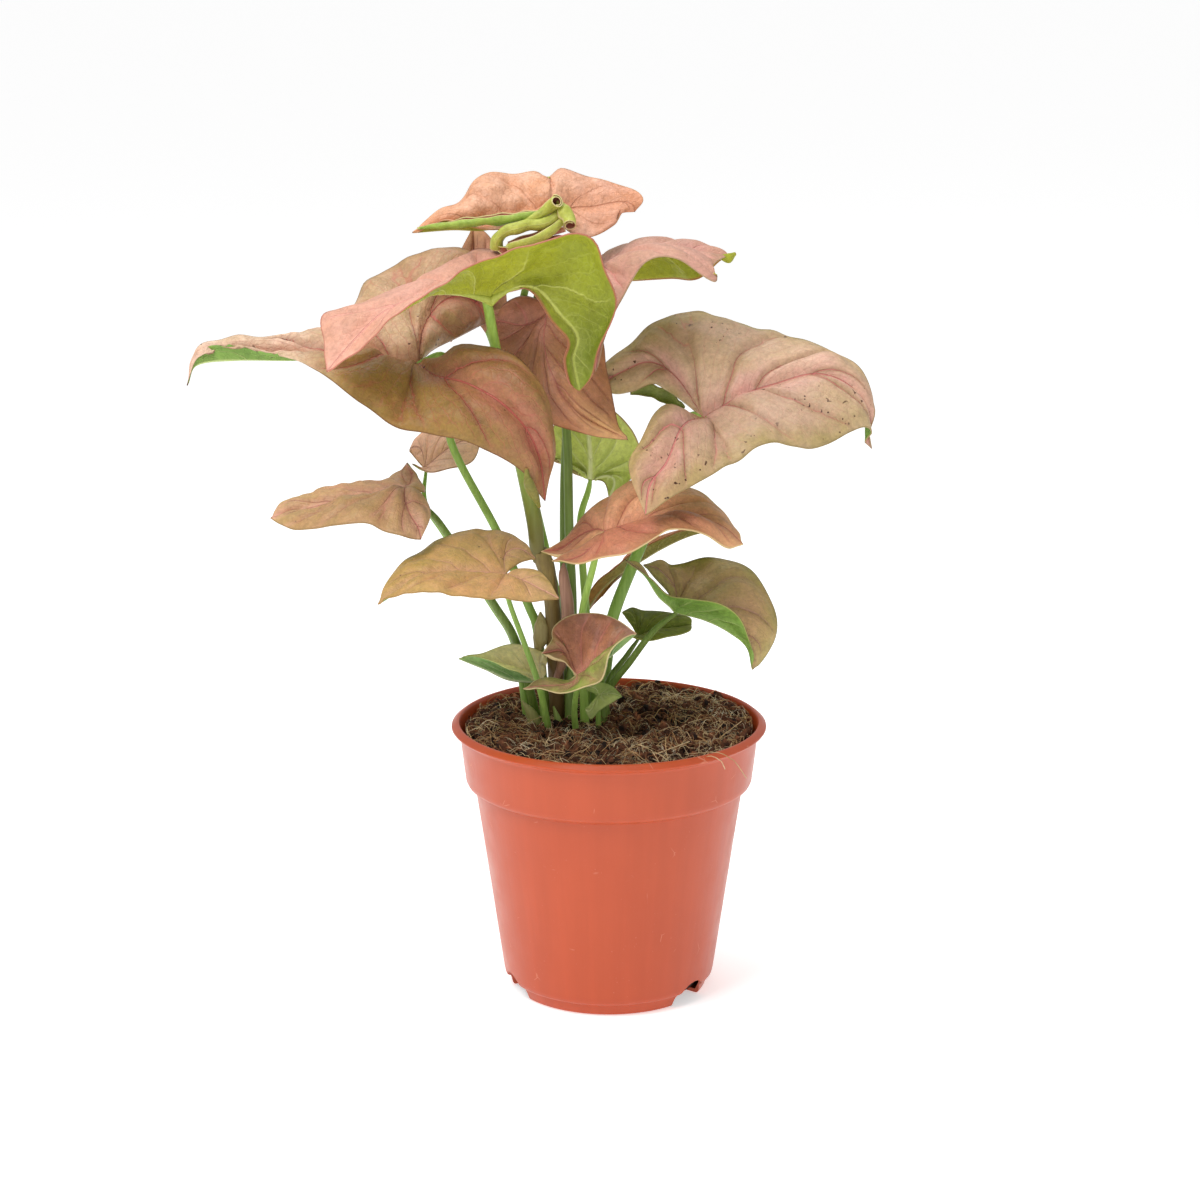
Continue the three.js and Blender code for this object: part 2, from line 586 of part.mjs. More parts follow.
const POT_LOOK = { color: 0xcc6248, roughness: 0.35, metalness: 0 };
const SOIL_LOOK = { color: 0x4a3326, roughness: 0.95, metalness: 0 };
const BLADE_FINISH = { roughness: 0.5, metalness: 0 };
const STALK_LOOK = { color: 0x6f9a3c, roughness: 0.45, metalness: 0 };

const STEM_LOOKS = {
  stem: { color: 0x6b5a35, roughness: 0.6, metalness: 0 },
  rolled: { color: 0x9a7466, roughness: 0.5, metalness: 0 },
  papery: { color: 0xb8a07a, roughness: 0.7, metalness: 0 },
};

place('pot', toGeometry(potSolid()), POT_LOOK);

const solids = new Map();
solids.set('soil', toSolid(soilGeometry()));

// A rod cut short where it meets the soil, its blade and the piece it grows from.
function seatedRod(route, radii, hosts) {
  const rod = rodSolid(route, radii, 2 * (route.length - 1));
  return largestPiece(hosts.reduce((rest, host) => rest.subtract(withClearance(solids.get(host))), rod));
}

for (const stem of STEMS.filter(({ seats }) => !seats)) {
  solids.set(stem.name, seatedRod(stem.route, stem.radii, ['soil']));
}
for (const leaf of LEAVES) {
  let blade = toSolid(bladeGeometry(leaf));
  if (leaf.name === 'top') {
    for (const lobe of FURLED_LOBES) {
      blade = blade.add(rodSolid(lobe.route, lobe.radii, 2 * (lobe.route.length - 1)));
    }
  }
  solids.set(`leaf_${leaf.name}_blade`, blade);
}
// The top leaf's stalk springs from another leaf's stalk, so it is made after that one.
for (const leaf of [...LEAVES].reverse()) {
  const hosts = ['soil', `leaf_${leaf.name}_blade`, ...(leaf.seats ?? [])];
  solids.set(`leaf_${leaf.name}_stalk`, seatedRod(leaf.stalk, leaf.stalkRadii, hosts));
}
for (const stem of STEMS.filter(({ seats }) => seats)) {
  solids.set(stem.name, seatedRod(stem.route, stem.radii, stem.seats));
}

place('soil', toGeometry(solids.get('soil')), SOIL_LOOK);
for (const stem of STEMS) place(stem.name, toGeometry(solids.get(stem.name)), STEM_LOOKS[stem.look]);
for (const leaf of LEAVES) {
  const look = { color: leaf.color, ...BLADE_FINISH };
  place(`leaf_${leaf.name}_blade`, toGeometry(solids.get(`leaf_${leaf.name}_blade`)), look);
  place(`leaf_${leaf.name}_stalk`, toGeometry(solids.get(`leaf_${leaf.name}_stalk`)), STALK_LOOK);
}

export default plant;
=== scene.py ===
# %% [markdown]
# # Arrowhead plant in its pot
# The plant is a young arrowhead vine: pink, tan and green leaves shaped like arrowheads, each on a
# long juicy stalk, crowded into one plastic nursery pot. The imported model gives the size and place
# of every piece. This lesson gives each of them its real surface: veins, curled margins, fibrous
# soil and moulded plastic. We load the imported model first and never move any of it.

import math
import random

import bpy
import numpy as np
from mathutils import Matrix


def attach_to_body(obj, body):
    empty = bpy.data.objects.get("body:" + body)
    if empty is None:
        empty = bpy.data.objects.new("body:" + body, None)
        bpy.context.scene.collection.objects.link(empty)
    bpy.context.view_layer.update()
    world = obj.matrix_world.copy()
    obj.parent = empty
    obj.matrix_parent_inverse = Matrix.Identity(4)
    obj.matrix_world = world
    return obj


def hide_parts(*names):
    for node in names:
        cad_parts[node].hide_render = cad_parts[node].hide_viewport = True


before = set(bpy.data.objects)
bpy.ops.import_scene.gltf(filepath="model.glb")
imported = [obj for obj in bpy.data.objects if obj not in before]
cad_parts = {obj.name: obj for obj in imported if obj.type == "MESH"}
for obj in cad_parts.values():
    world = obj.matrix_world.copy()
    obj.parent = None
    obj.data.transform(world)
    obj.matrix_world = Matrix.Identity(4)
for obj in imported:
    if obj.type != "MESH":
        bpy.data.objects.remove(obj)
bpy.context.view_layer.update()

# %% [markdown]
# Blender's operators act on whatever is selected, and loading leaves every piece selected. So the
# first helpers clear the selection and pick one piece. The plant and its pot are set out in
# millimetres, as a grower would measure them, and MM turns them into Blender's metres. The camera,
# the lamps, and the noise, relief and heights inside the finishes are in metres from the start.

# %% Small helpers for selecting and for sizes
MM = 0.001


def pick(*pieces):
    """Leaves only these pieces selected; the first becomes the active one."""
    bpy.ops.object.select_all(action="DESELECT")
    for piece in pieces:
        piece.select_set(True)
    bpy.context.view_layer.objects.active = pieces[0]


def newest(name):
    """Names the piece that an operator has just added, and hands it over."""
    piece = bpy.context.object
    piece.name = name
    piece.data.name = name
    return piece


def finish_modifiers(piece):
    """Applies every modifier of a piece, from the top down."""
    pick(piece)
    for modifier in list(piece.modifiers):
        bpy.ops.object.modifier_apply(modifier=modifier.name)


def mount(piece, node):
    """The piece stands for its node, whose imported shape is hidden, and moves with the root body."""
    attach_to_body(piece, "root")
    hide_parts(node)


def mount_extra(piece):
    """A small piece beside a node's own: it moves with the root body."""
    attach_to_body(piece, "root")


bpy.ops.object.select_all(action="DESELECT")
print("nodes to dress:", len(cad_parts))

# %% [markdown]
# The camera and the light come before any modelling, so that each piece can be judged as it is
# made. A plant on a shelf is seen from slightly above. A long lens keeps the pot's rim from looking
# stretched.

# %% Camera
LOOK_DOWN = 14.28
LOOK_ASIDE = 0.19

camera_data = bpy.data.cameras.new("plant_camera")
camera_data.lens = 84
camera_data.sensor_width = 36
camera = bpy.data.objects.new("plant_camera", camera_data)
camera.location = (0, -1.024, 0.413)
camera.rotation_euler = (math.radians(90 - LOOK_DOWN), 0, math.radians(LOOK_ASIDE))
bpy.context.scene.collection.objects.link(camera)
bpy.context.scene.camera = camera
print("camera", tuple(round(value, 3) for value in camera.location), "lens", camera_data.lens)

# %% [markdown]
# A large lamp high on the left gives soft shadows, one overhead fills them, and two weak ones lift
# the right side and the front. The floor is far larger than the view. The world glows dimly on the
# plant from all round, but the camera sees it plain white, so that no grey band shows where the
# floor ends.

# %% Floor and lamps
LAMPS = {
    "window_left": dict(place=(-0.55, -0.6, 1.15), aim=(0, 0, 0.18), size=0.55, power=9.0),
    "overhead": dict(place=(-0.15, 0.3, 1.2), aim=(0, 0, 0.2), size=0.8, power=5),
    "fill_right": dict(place=(1.2, -0.5, 0.7), aim=(0, 0, 0.15), size=0.5, power=0.6),
    "fill_front": dict(place=(0.15, -1.5, 0.35), aim=(0, 0, 0.18), size=0.9, power=1.6),
}


def soft_lamp(name, place, aim, size, power):
    """A square lamp that looks from its place to the aim."""
    lamp = bpy.data.lights.new(name, "AREA")
    lamp.size = size
    lamp.energy = power
    holder = bpy.data.objects.new(name, lamp)
    holder.location = place
    away = np.array(place, float) - np.array(aim, float)
    flat = math.hypot(away[0], away[1])
    holder.rotation_euler = (math.atan2(flat, away[2]), 0, math.atan2(away[0], -away[1]))
    bpy.context.scene.collection.objects.link(holder)


bpy.ops.mesh.primitive_plane_add(size=40, location=(0, 0, -0.0002))
floor = newest("floor")
for name, setting in LAMPS.items():
    soft_lamp(name, **setting)
print("lamps:", ", ".join(LAMPS))

# %% The world: dim for the plant, white for the camera
PLANT_GLOW = 0.55
CAMERA_GLOW = 1.0

world = bpy.data.worlds.new("studio")
bpy.context.scene.world = world
world.use_nodes = True
room = world.node_tree
glow, backdrop = room.nodes["Background"], room.nodes.new("ShaderNodeBackground")
for light, strength in ((glow, PLANT_GLOW), (backdrop, CAMERA_GLOW)):
    light.inputs["Color"].default_value = (1, 1, 1, 1)
    light.inputs["Strength"].default_value = strength
ray, either = room.nodes.new("ShaderNodeLightPath"), room.nodes.new("ShaderNodeMixShader")
for slot, source in enumerate((ray.outputs["Is Camera Ray"], glow.outputs[0], backdrop.outputs[0])):
    room.links.new(source, either.inputs[slot])
room.links.new(either.outputs[0], room.nodes["World Output"].inputs["Surface"])
bpy.context.scene.view_settings.view_transform = "Standard"
print("world nodes:", len(room.nodes))

# %% [markdown]
# Every finish here is a network of nodes. A few words of our own make these short to write. `add`
# places a node and wires its inputs, and `calc`, `times` and `plus` do arithmetic. `tint` mixes two
# colours, and `layer` lays a colour over others where a mask shows. `ramp` turns a range of values
# into a soft 0 to 1 mask, and `paint` reads a colour written the way painters and web pages write it.

# %% Words for building materials
def paint(code):
    """A colour such as 'cc6248', turned into the linear numbers that Blender's shaders work in."""
    parts = [int(code[i:i + 2], 16) / 255 for i in (0, 2, 4)]
    return (*[p / 12.92 if p <= 0.04045 else ((p + 0.055) / 1.055) ** 2.4 for p in parts], 1)


def plug(tree, socket, value):
    """Wires an output to a socket, or sets the socket to a plain value."""
    if isinstance(value, bpy.types.NodeSocket):
        tree.links.new(value, socket)
    else:
        socket.default_value = value


def add(tree, kind, wires=None, **settings):
    """A new shader node with its settings made and its inputs wired."""
    made = tree.nodes.new("ShaderNode" + kind)
    for key, value in settings.items():
        setattr(made, key, value)
    for key, value in (wires or {}).items():
        plug(tree, made.inputs[key], value)
    return made


def calc(tree, operation, *values):
    return add(tree, "Math", dict(enumerate(values)), operation=operation).outputs[0]


def times(tree, first, second):
    return calc(tree, "MULTIPLY", first, second)


def plus(tree, first, second):
    return calc(tree, "ADD", first, second)


def tint(tree, factor, first, second, blend="MIX"):
    wires = {0: factor, 6: first, 7: second}
    return add(tree, "Mix", wires, data_type="RGBA", blend_type=blend).outputs[2]


def layer(tree, body, mask, strength, colour):
    """The body with a painted colour laid over it where the mask shows."""
    return tint(tree, times(tree, mask, strength), body, paint(colour))


def ramp(tree, value, low, high, start=0.0, end=1.0):
    wires = {0: value, 1: low, 2: high, 3: start, 4: end}
    return add(tree, "MapRange", wires, interpolation_type="SMOOTHSTEP").outputs[0]


print("mid grey as a shader sees it:", round(paint("808080")[0], 3))

# %% [markdown]
# A pattern has to stay on its piece, so it reads either the place on the piece or a number that the
# piece carries at each point. Fine relief is a bump: it bends the light and leaves the shape alone.

# %% Words for patterns, relief and finishes
def measure(tree, name):
    """Reads a number that a piece carries at each of its points."""
    return add(tree, "Attribute", attribute_name=name).outputs["Fac"]


def place_of(tree):
    """Where on the piece a point is, in metres from the origin."""
    return add(tree, "TexCoord").outputs["Object"]


def speckle(tree, scale, detail=3.0, roughness=0.55):
    """Soft noise between 0 and 1; the scale is how many blots there are to a metre."""
    wires = {"Vector": place_of(tree), "Scale": scale, "Detail": detail, "Roughness": roughness}
    return add(tree, "TexNoise", wires).outputs["Fac"]


def dent(tree, shader, strength, distance, height, **settings):
    """Fine relief: a Bump node that turns a height into the shader's normals."""
    wires = {"Strength": strength, "Distance": distance, "Height": height}
    plug(tree, shader.inputs["Normal"], add(tree, "Bump", wires, **settings).outputs[0])


def material(name, fixed):
    """A new material, its tree and its Principled shader, whose sockets take the fixed values."""
    made = bpy.data.materials.new(name)
    made.use_nodes = True
    shader = made.node_tree.nodes["Principled BSDF"]
    for key, value in fixed.items():
        shader.inputs[key].default_value = value
    return made, made.node_tree, shader


white = material("pale_floor", {"Base Color": (0.96, 0.96, 0.96, 1), "Roughness": 0.9,
                                "Specular IOR Level": 0.1, "Emission Color": (1, 1, 1, 1),
                                "Emission Strength": 0.45})[0]
floor.data.materials.append(white)
print("helpers ready; first material:", white.name)

# %% [markdown]
# ## The nursery pot
# A nursery pot is moulded in one shot: a thin wall with a stiff band at the rim, a wide collar that
# lets pots stack, a plain taper, and a foot with notches that let water out. It could be a turned
# profile, but growing it from a circle shows the shape better: start with the disc it stands on,
# then extrude its edge again and again, scaling each new ring. The rings walk up the outside, over
# the rim and down the inside, so the wall gets its thickness as it grows.

# %% Grow the pot from a disc
POT_FOOT = 36.6
FOOT_RINGS = (8, 12)
FLOOR_RING = 10
POT_OUTSIDE = [
    (37.3, 0.25), (37.7, 0.9), (38.3, 3.2), (38.8, 4.4), (39.8, 4.9), (40.4, 5.6), (40.7, 7.0),
    (43.4, 26.0), (46.1, 45.0), (48.7, 63.0), (51.1, 79.4), (51.3, 80.6), (51.8, 81.1), (53.3, 81.6),
    (54.3, 82.2), (54.75, 83.2), (54.9, 84.6), (55.8, 92.0), (56.8, 100.9), (57.0, 101.7), (57.5, 102.2),
    (59.0, 102.9), (59.7, 103.2), (60.0, 103.6), (59.9, 104.0), (59.4, 104.4), (58.5, 105.1), (58.0, 105.4),
    (57.6, 105.5),
]
POT_INSIDE = [
    (57.2, 105.45), (56.9, 105.1), (56.6, 104.2), (56.3, 102.4), (55.6, 98.8), (53.6, 84.6), (50.2, 81.4),
    (47.6, 63.0), (42.3, 26.0), (39.4, 6.5), (36.3, 1.5),
]


def grow_rings(start, rings):
    """Extrudes the selected edge loop once for each (radius, height), scaling about the middle."""
    radius, height = start
    for next_radius, next_height in rings:
        move = {"value": (0, 0, (next_height - height) * MM)}
        bpy.ops.mesh.extrude_edges_move(TRANSFORM_OT_translate=move)
        scale = next_radius / radius
        bpy.ops.transform.resize(value=(scale, scale, 1), center_override=(0, 0, 0))
        radius, height = next_radius, next_height


def point_outwards():
    """Turns the faces of the mesh in edit mode outwards, and leaves edit mode."""
    bpy.ops.mesh.select_all(action="SELECT")
    bpy.ops.mesh.normals_make_consistent(inside=False)
    bpy.ops.object.mode_set(mode="OBJECT")


bpy.ops.object.select_all(action="DESELECT")
bpy.ops.mesh.primitive_circle_add(vertices=120, radius=POT_FOOT * MM, fill_type="NOTHING")
pot = newest("pot_shell")
bpy.ops.object.mode_set(mode="EDIT")
bpy.ops.mesh.select_all(action="SELECT")
bpy.ops.mesh.duplicate()
bpy.ops.mesh.edge_face_add()
for width in FOOT_RINGS:
    bpy.ops.mesh.inset(thickness=width * MM)
bpy.ops.mesh.select_all(action="SELECT")
bpy.ops.mesh.remove_doubles(threshold=0.01 * MM)
bpy.ops.mesh.select_all(action="DESELECT")
bpy.ops.mesh.select_non_manifold()
grow_rings((POT_FOOT, 0), POT_OUTSIDE + POT_INSIDE)
bpy.ops.mesh.edge_face_add()
bpy.ops.mesh.inset(thickness=FLOOR_RING * MM)
point_outwards()
print("pot:", len(pot.data.polygons), "faces")

# %% [markdown]
# Three arched notches round the foot let water run out even when the pot stands on a flat shelf. On
# the real pot the mould leaves them; here three cylinders, laid across the foot, are cut away with a
# Boolean.

# %% Cut the drain notches
NOTCH_HEADINGS = (323, 203, 83)
NOTCH_REACH = 41
NOTCH_RADIUS = 8.5
NOTCH_DEPTH = 20

for heading in NOTCH_HEADINGS:
    turn = math.radians(heading)
    middle = (NOTCH_REACH * MM * math.cos(turn), NOTCH_REACH * MM * math.sin(turn), 0)
    bpy.ops.object.select_all(action="DESELECT")
    bpy.ops.mesh.primitive_cylinder_add(vertices=40, radius=NOTCH_RADIUS * MM, depth=NOTCH_DEPTH * MM,
                                        location=middle, rotation=(0, math.pi / 2, turn))
    cutter = newest("notch_cutter")
    cut = pot.modifiers.new("notch", "BOOLEAN")
    cut.object = cutter
    cut.operation = "DIFFERENCE"
    cut.solver = "EXACT"
    finish_modifiers(pot)
    bpy.data.objects.remove(cutter)

soften = pot.modifiers.new("soft_edges", "BEVEL")
soften.width = 0.35 * MM
soften.segments = 2
soften.limit_method = "ANGLE"
soften.angle_limit = math.radians(50)
finish_modifiers(pot)
bpy.ops.object.shade_smooth_by_angle(angle=math.radians(35))
print("pot with notches:", len(pot.data.polygons), "faces")

# %% [markdown]
# The pot's plastic is terracotta red with a satin gloss. Molten plastic leaves faint upright flow
# streaks, and handling leaves pale scuffs, dust specks and a slightly uneven gloss. The streaks have
# to follow the wall round, so they read the direction from the pot's axis and not plain X and Y.

# %% Terracotta plastic
def flow_streaks(tree):
    """Noise that is stretched upwards and runs round the wall."""
    split = add(tree, "SeparateXYZ", {0: place_of(tree)}).outputs
    flat = add(tree, "CombineXYZ", {0: split[0], 1: split[1], 2: 0.0}).outputs[0]
    outward = add(tree, "VectorMath", {0: flat}, operation="NORMALIZE").outputs[0]
    lift = add(tree, "CombineXYZ", {2: times(tree, split[2], 1.5)}).outputs[0]
    round_the_wall = add(tree, "VectorMath", {0: outward, 1: lift}, operation="ADD").outputs[0]
    wires = {"Vector": round_the_wall, "Scale": 9.0, "Detail": 4.0, "Roughness": 0.55}
    return add(tree, "TexNoise", wires).outputs["Fac"]


def plastic():
    made, tree, shader = material("terracotta_plastic", {})
    streaks = flow_streaks(tree)
    body = tint(tree, ramp(tree, streaks, 0.3, 0.72), paint("b5481f"), paint("bb4b22"))
    body = layer(tree, body, ramp(tree, speckle(tree, 28.0), 0.4, 0.75), 0.3, "ad421c")
    dust = ramp(tree, speckle(tree, 1300.0, 2.0), 0.7, 0.77)
    dusty = times(tree, dust, ramp(tree, speckle(tree, 60.0), 0.47, 0.6))
    cells = {"Vector": place_of(tree), "Scale": 140.0}
    cracks = add(tree, "TexVoronoi", cells, feature="DISTANCE_TO_EDGE").outputs["Distance"]
    rubbed = ramp(tree, speckle(tree, 110.0, 1.0), 0.68, 0.74)
    marks = calc(tree, "MAXIMUM", dusty, times(tree, ramp(tree, cracks, 0.02, 0.006), rubbed))
    plug(tree, shader.inputs["Base Color"], layer(tree, body, marks, 0.4, "e0a488"))
    gloss = ramp(tree, speckle(tree, 110.0), 0.3, 0.7, 0.3, 0.38)
    plug(tree, shader.inputs["Roughness"], plus(tree, gloss, times(tree, marks, 0.25)))
    dent(tree, shader, 0.1, 0.0002, plus(tree, speckle(tree, 900.0, 2.0), times(tree, streaks, 3.0)))
    return made


pot.data.materials.append(plastic())
mount(pot, "pot")
print("pot finish:", pot.data.materials[0].name)

# %% [markdown]
# ## The soil
# The pot is filled with peat and coconut fibre. The body is one closed lump that shows through the
# drain notches too; its top is heaped and torn by waves of three sizes. The crumbs and the pale
# hairs that catch the eye are separate small shapes, because relief this fine would need a far
# denser surface.

# %% Fill the pot with soil
SOIL_SIDE = [(54.2, 99.5), (53.0, 97.0), (52.9, 86.0), (49.4, 80.9), (38.0, 9.5), (35.3, 2.9)]
SOIL_REACH = 55
SOIL_RINGS = 33
SOIL_RING_WIDTH = 1.6
SOIL_LEVEL = 101.6
SOIL_CROWN = 1.0
SOIL_HEAPS = ((36, 14, 1.6, 420), (28, 40, 1.5, 300))


def soil_height(x, y):
    """Height of the soil's top in millimetres: a low crown with two heaps and hollows in it."""
    out = math.hypot(x, y) / SOIL_REACH
    crown = SOIL_LEVEL + SOIL_CROWN * max(0.0, 1 - out ** 2)
    heap = sum(rise * math.exp(-((x - across) ** 2 + (y - deep) ** 2) / spread)
               for across, deep, rise, spread in SOIL_HEAPS)
    coarse = 1.6 * math.sin(x * 0.21 + 1.3 * math.sin(y * 0.17)) * math.cos(y * 0.19 + 0.8)
    middle = 1.7 * math.sin(x * 0.53 + y * 0.31) * math.sin(y * 0.61 - x * 0.3 + 1.1)
    fine = 0.9 * math.sin(x * 1.9 + 2.0 * math.sin(y * 1.3)) * math.sin(y * 2.1 + 1.7 * math.sin(x * 1.1))
    return crown + heap + (coarse + middle + fine) * min(1.0, 1.5 - out)


soil_edge, soil_start = SOIL_SIDE[0]
bpy.ops.object.select_all(action="DESELECT")
bpy.ops.mesh.primitive_circle_add(vertices=96, radius=soil_edge * MM, fill_type="NGON",
                                  location=(0, 0, soil_start * MM))
soil = newest("soil_body")
bpy.ops.object.transform_apply(location=True)
bpy.ops.object.mode_set(mode="EDIT")
bpy.ops.mesh.select_all(action="SELECT")
for ring in range(SOIL_RINGS):
    bpy.ops.mesh.inset(thickness=SOIL_RING_WIDTH * MM)
bpy.ops.mesh.select_all(action="DESELECT")
bpy.ops.mesh.select_non_manifold()
grow_rings(SOIL_SIDE[0], SOIL_SIDE[1:])
bpy.ops.mesh.edge_face_add()
point_outwards()
for vertex in soil.data.vertices:
    x, y, z = (value / MM for value in vertex.co)
    if z > soil_start - 0.1:
        vertex.co.z = soil_height(x, y) * MM
pick(soil)
bpy.ops.object.shade_smooth()

# %% [markdown]
# Crumbs are one small faceted stone, made from an icosphere and then squashed, turned and scattered
# a few thousand times by code. Copies are few-sided, because no one sees the facets at this size.
# The dice are seeded, so the soil is the same in every render.

# %% Scatter crumbs
CRUMB_SINK = 0.35
soil_dice = random.Random(11)


def mesh_piece(name, points, faces):
    """A new piece from lists of points (in millimetres) and faces."""
    mesh = bpy.data.meshes.new(name)
    mesh.from_pydata([tuple(c * MM for c in point) for point in points], [], faces)
    mesh.validate()
    piece = bpy.data.objects.new(name, mesh)
    bpy.context.scene.collection.objects.link(piece)
    return piece


def heap_up(points, faces, more_points, more_faces):
    """Adds one small shape to the lists of points and faces of a larger piece."""
    faces += [[corner + len(points) for corner in face] for face in more_faces]
    points += more_points


def crumb_shape():
    """Points and faces of one crumb, a millimetre in radius, taken from a small icosphere."""
    bpy.ops.mesh.primitive_ico_sphere_add(subdivisions=1, radius=1)
    ball = bpy.context.object
    points = np.array([vertex.co[:] for vertex in ball.data.vertices])
    faces = [list(polygon.vertices) for polygon in ball.data.polygons]
    bpy.data.objects.remove(ball)
    return points, faces


def spot(dice, reach=54.0):
    """A random place on the soil, evenly spread."""
    radius, turn = reach * math.sqrt(dice.random()), dice.uniform(0, 2 * math.pi)
    return radius * math.cos(turn), radius * math.sin(turn)


def scatter_crumbs(name, count, smallest, largest, dice):
    ball, ball_faces = crumb_shape()
    points, faces = [], []
    for _ in range(count):
        x, y = spot(dice)
        size = smallest + (largest - smallest) * dice.random() ** 2
        turn = np.linalg.qr(np.array([[dice.gauss(0, 1) for _ in range(3)] for _ in range(3)]))[0]
        squash = np.array([size * dice.uniform(0.6, 1.4), size * dice.uniform(0.6, 1.1), size * 0.6])
        rough = ball * squash * np.array([[dice.uniform(0.7, 1.25)] for _ in ball])
        placed = rough @ turn.T + np.array([x, y, soil_height(x, y) + CRUMB_SINK * size])
        reach = np.hypot(placed[:, 0], placed[:, 1]).max()
        if reach > SOIL_REACH:
            placed[:, :2] *= SOIL_REACH / reach
        heap_up(points, faces, placed.tolist(), ball_faces)
    return mesh_piece(name, points, faces)


crumbs = scatter_crumbs("soil_crumbs", 2800, 0.5, 2.6, soil_dice)
print(crumbs.name, len(crumbs.data.polygons), "faces")

# %% [markdown]
# Fibres are thin three-sided hairs. A curve with a bevel would draw one just as well, but more than
# four thousand curves are slow to turn into meshes, and plain lists of points are quick.

# %% The shape of a hair
HAIR_CORNERS = (0, 2.094, 4.189)
NEARLY_UPRIGHT = (0.13, 0.21, 0.97)


def hair(route, thickness):
    """Points and faces of a three-sided hair along a route, closed at both ends."""
    route = np.array(route)
    ahead = np.gradient(route, axis=0)
    ahead /= np.linalg.norm(ahead, axis=1)[:, None]
    side = np.cross(ahead, NEARLY_UPRIGHT)
    side /= np.linalg.norm(side, axis=1)[:, None]
    over = np.cross(ahead, side)
    rims = [route + thickness * (math.cos(turn) * side + math.sin(turn) * over) for turn in HAIR_CORNERS]
    points = np.stack(rims, axis=1).reshape(-1, 3)
    last = 3 * (len(route) - 1)
    faces = []
    for ring in range(0, last, 3):
        for corner in range(3):
            after = (corner + 1) % 3
            faces.append([ring + corner, ring + after, ring + 3 + after, ring + 3 + corner])
    faces += [[2, 1, 0], [last, last + 1, last + 2]]
    return points.tolist(), faces


print("a straight hair of three places has", len(hair([(0, 0, 0), (1, 0, 0), (2, 0, 0)], 0.1)[1]), "faces")

# %% [markdown]
# The hairs wander over the soil in loose arcs. Brown coconut hairs are the most common;
# straw-coloured and grey ones are finer; the long pale ones are few and stand out. The table says
# how many there are of each kind, how long and thick they are, how high they arch and how much they
# bend.

# %% Scatter fibres
HAIR_STEPS = 9
HAIR_REACH = 54.6
HAIR_FLOAT = 0.3
HAIR_WOBBLE = 0.15
HAIRS = {
    "soil_brown_fibres": dict(count=2600, long=(3, 13), thick=(0.09, 0.22), lift=2.6, bend=0.25),
    "soil_straw_fibres": dict(count=1200, long=(4, 18), thick=(0.05, 0.11), lift=3.4, bend=0.12),
    "soil_grey_fibres": dict(count=700, long=(4, 14), thick=(0.06, 0.12), lift=2.8, bend=0.15),
    "soil_long_fibres": dict(count=110, long=(14, 28), thick=(0.08, 0.13), lift=4.5, bend=0.06),
}


def wander(dice, x, y, length, lift, bend):
    """A hair's route over the soil: it starts at (x, y), curls as it goes and arches up a little."""
    heading, curl = dice.uniform(0, 2 * math.pi), dice.uniform(-bend, bend)
    route = []
    ground = soil_height(x, y)
    for step in range(HAIR_STEPS):
        arch = lift * math.sin(math.pi * step / (HAIR_STEPS - 1))
        radius = math.hypot(x, y)
        if radius > HAIR_REACH:
            x, y = x * HAIR_REACH / radius, y * HAIR_REACH / radius
        ground = max(soil_height(x, y), 0.6 * ground + 0.4 * soil_height(x, y))
        route.append((x, y, ground + HAIR_FLOAT + arch))
        heading += curl + dice.uniform(-HAIR_WOBBLE, HAIR_WOBBLE)
        x += length / HAIR_STEPS * math.cos(heading)
        y += length / HAIR_STEPS * math.sin(heading)
    return route


def scatter_hairs(name, count, long, thick, lift, bend, dice):
    points, faces = [], []
    for _ in range(count):
        x, y = spot(dice)
        route = wander(dice, x, y, dice.uniform(*long), lift * dice.random() ** 1.5, bend)
        heap_up(points, faces, *hair(route, dice.uniform(*thick)))
    return mesh_piece(name, points, faces)


hairs = {name: scatter_hairs(name, dice=soil_dice, **kind) for name, kind in HAIRS.items()}
for piece in hairs.values():
    print(piece.name, len(piece.data.polygons), "faces")

# %% [markdown]
# A few long straws always end up on top of the soil, and one or two hang over the rim. They are laid
# point by point.

# %% Lay the loose straws
STRAW_THICKNESS = 0.17
LOOSE_STRAWS = [
    [(30, -38, 103.5), (36, -43, 105.8), (41, -46, 106.5), (46, -50, 104.5), (50, -53, 99)],
    [(34, -44, 104), (37, -48, 106), (39, -51, 106.2), (41, -55, 105.8), (42, -58, 104)],
    [(-52, 3, 103), (-46, -4, 104.5), (-40, -8, 104), (-34, -12, 103.2)],
    [(2, -36, 103), (8, -33, 104.6), (13, -29, 105), (17, -22, 104)],
    [(10, -44, 102.5), (19, -40, 104.8), (26, -33, 105.2), (31, -24, 104.3)],
    [(24, -12, 103.5), (30, -5, 105.5), (37, 0, 106), (43, 8, 104.5)],
    [(-30, -34, 102.8), (-24, -38, 104), (-16, -40, 104.2), (-8, -41, 103)],
    [(40, -20, 103), (45, -14, 105), (49, -6, 105.4), (51, 3, 104)],
]
points, faces = [], []
for corners in LOOSE_STRAWS:
    corners = np.array(corners, float)
    along = np.linspace(0, len(corners) - 1, 12)
    sides = [np.interp(along, range(len(corners)), corners[:, axis]) for axis in range(3)]
    heap_up(points, faces, *hair(np.stack(sides, axis=1), STRAW_THICKNESS))
straws = mesh_piece("soil_loose_straws", points, faces)
print(straws.name, len(LOOSE_STRAWS), "straws")
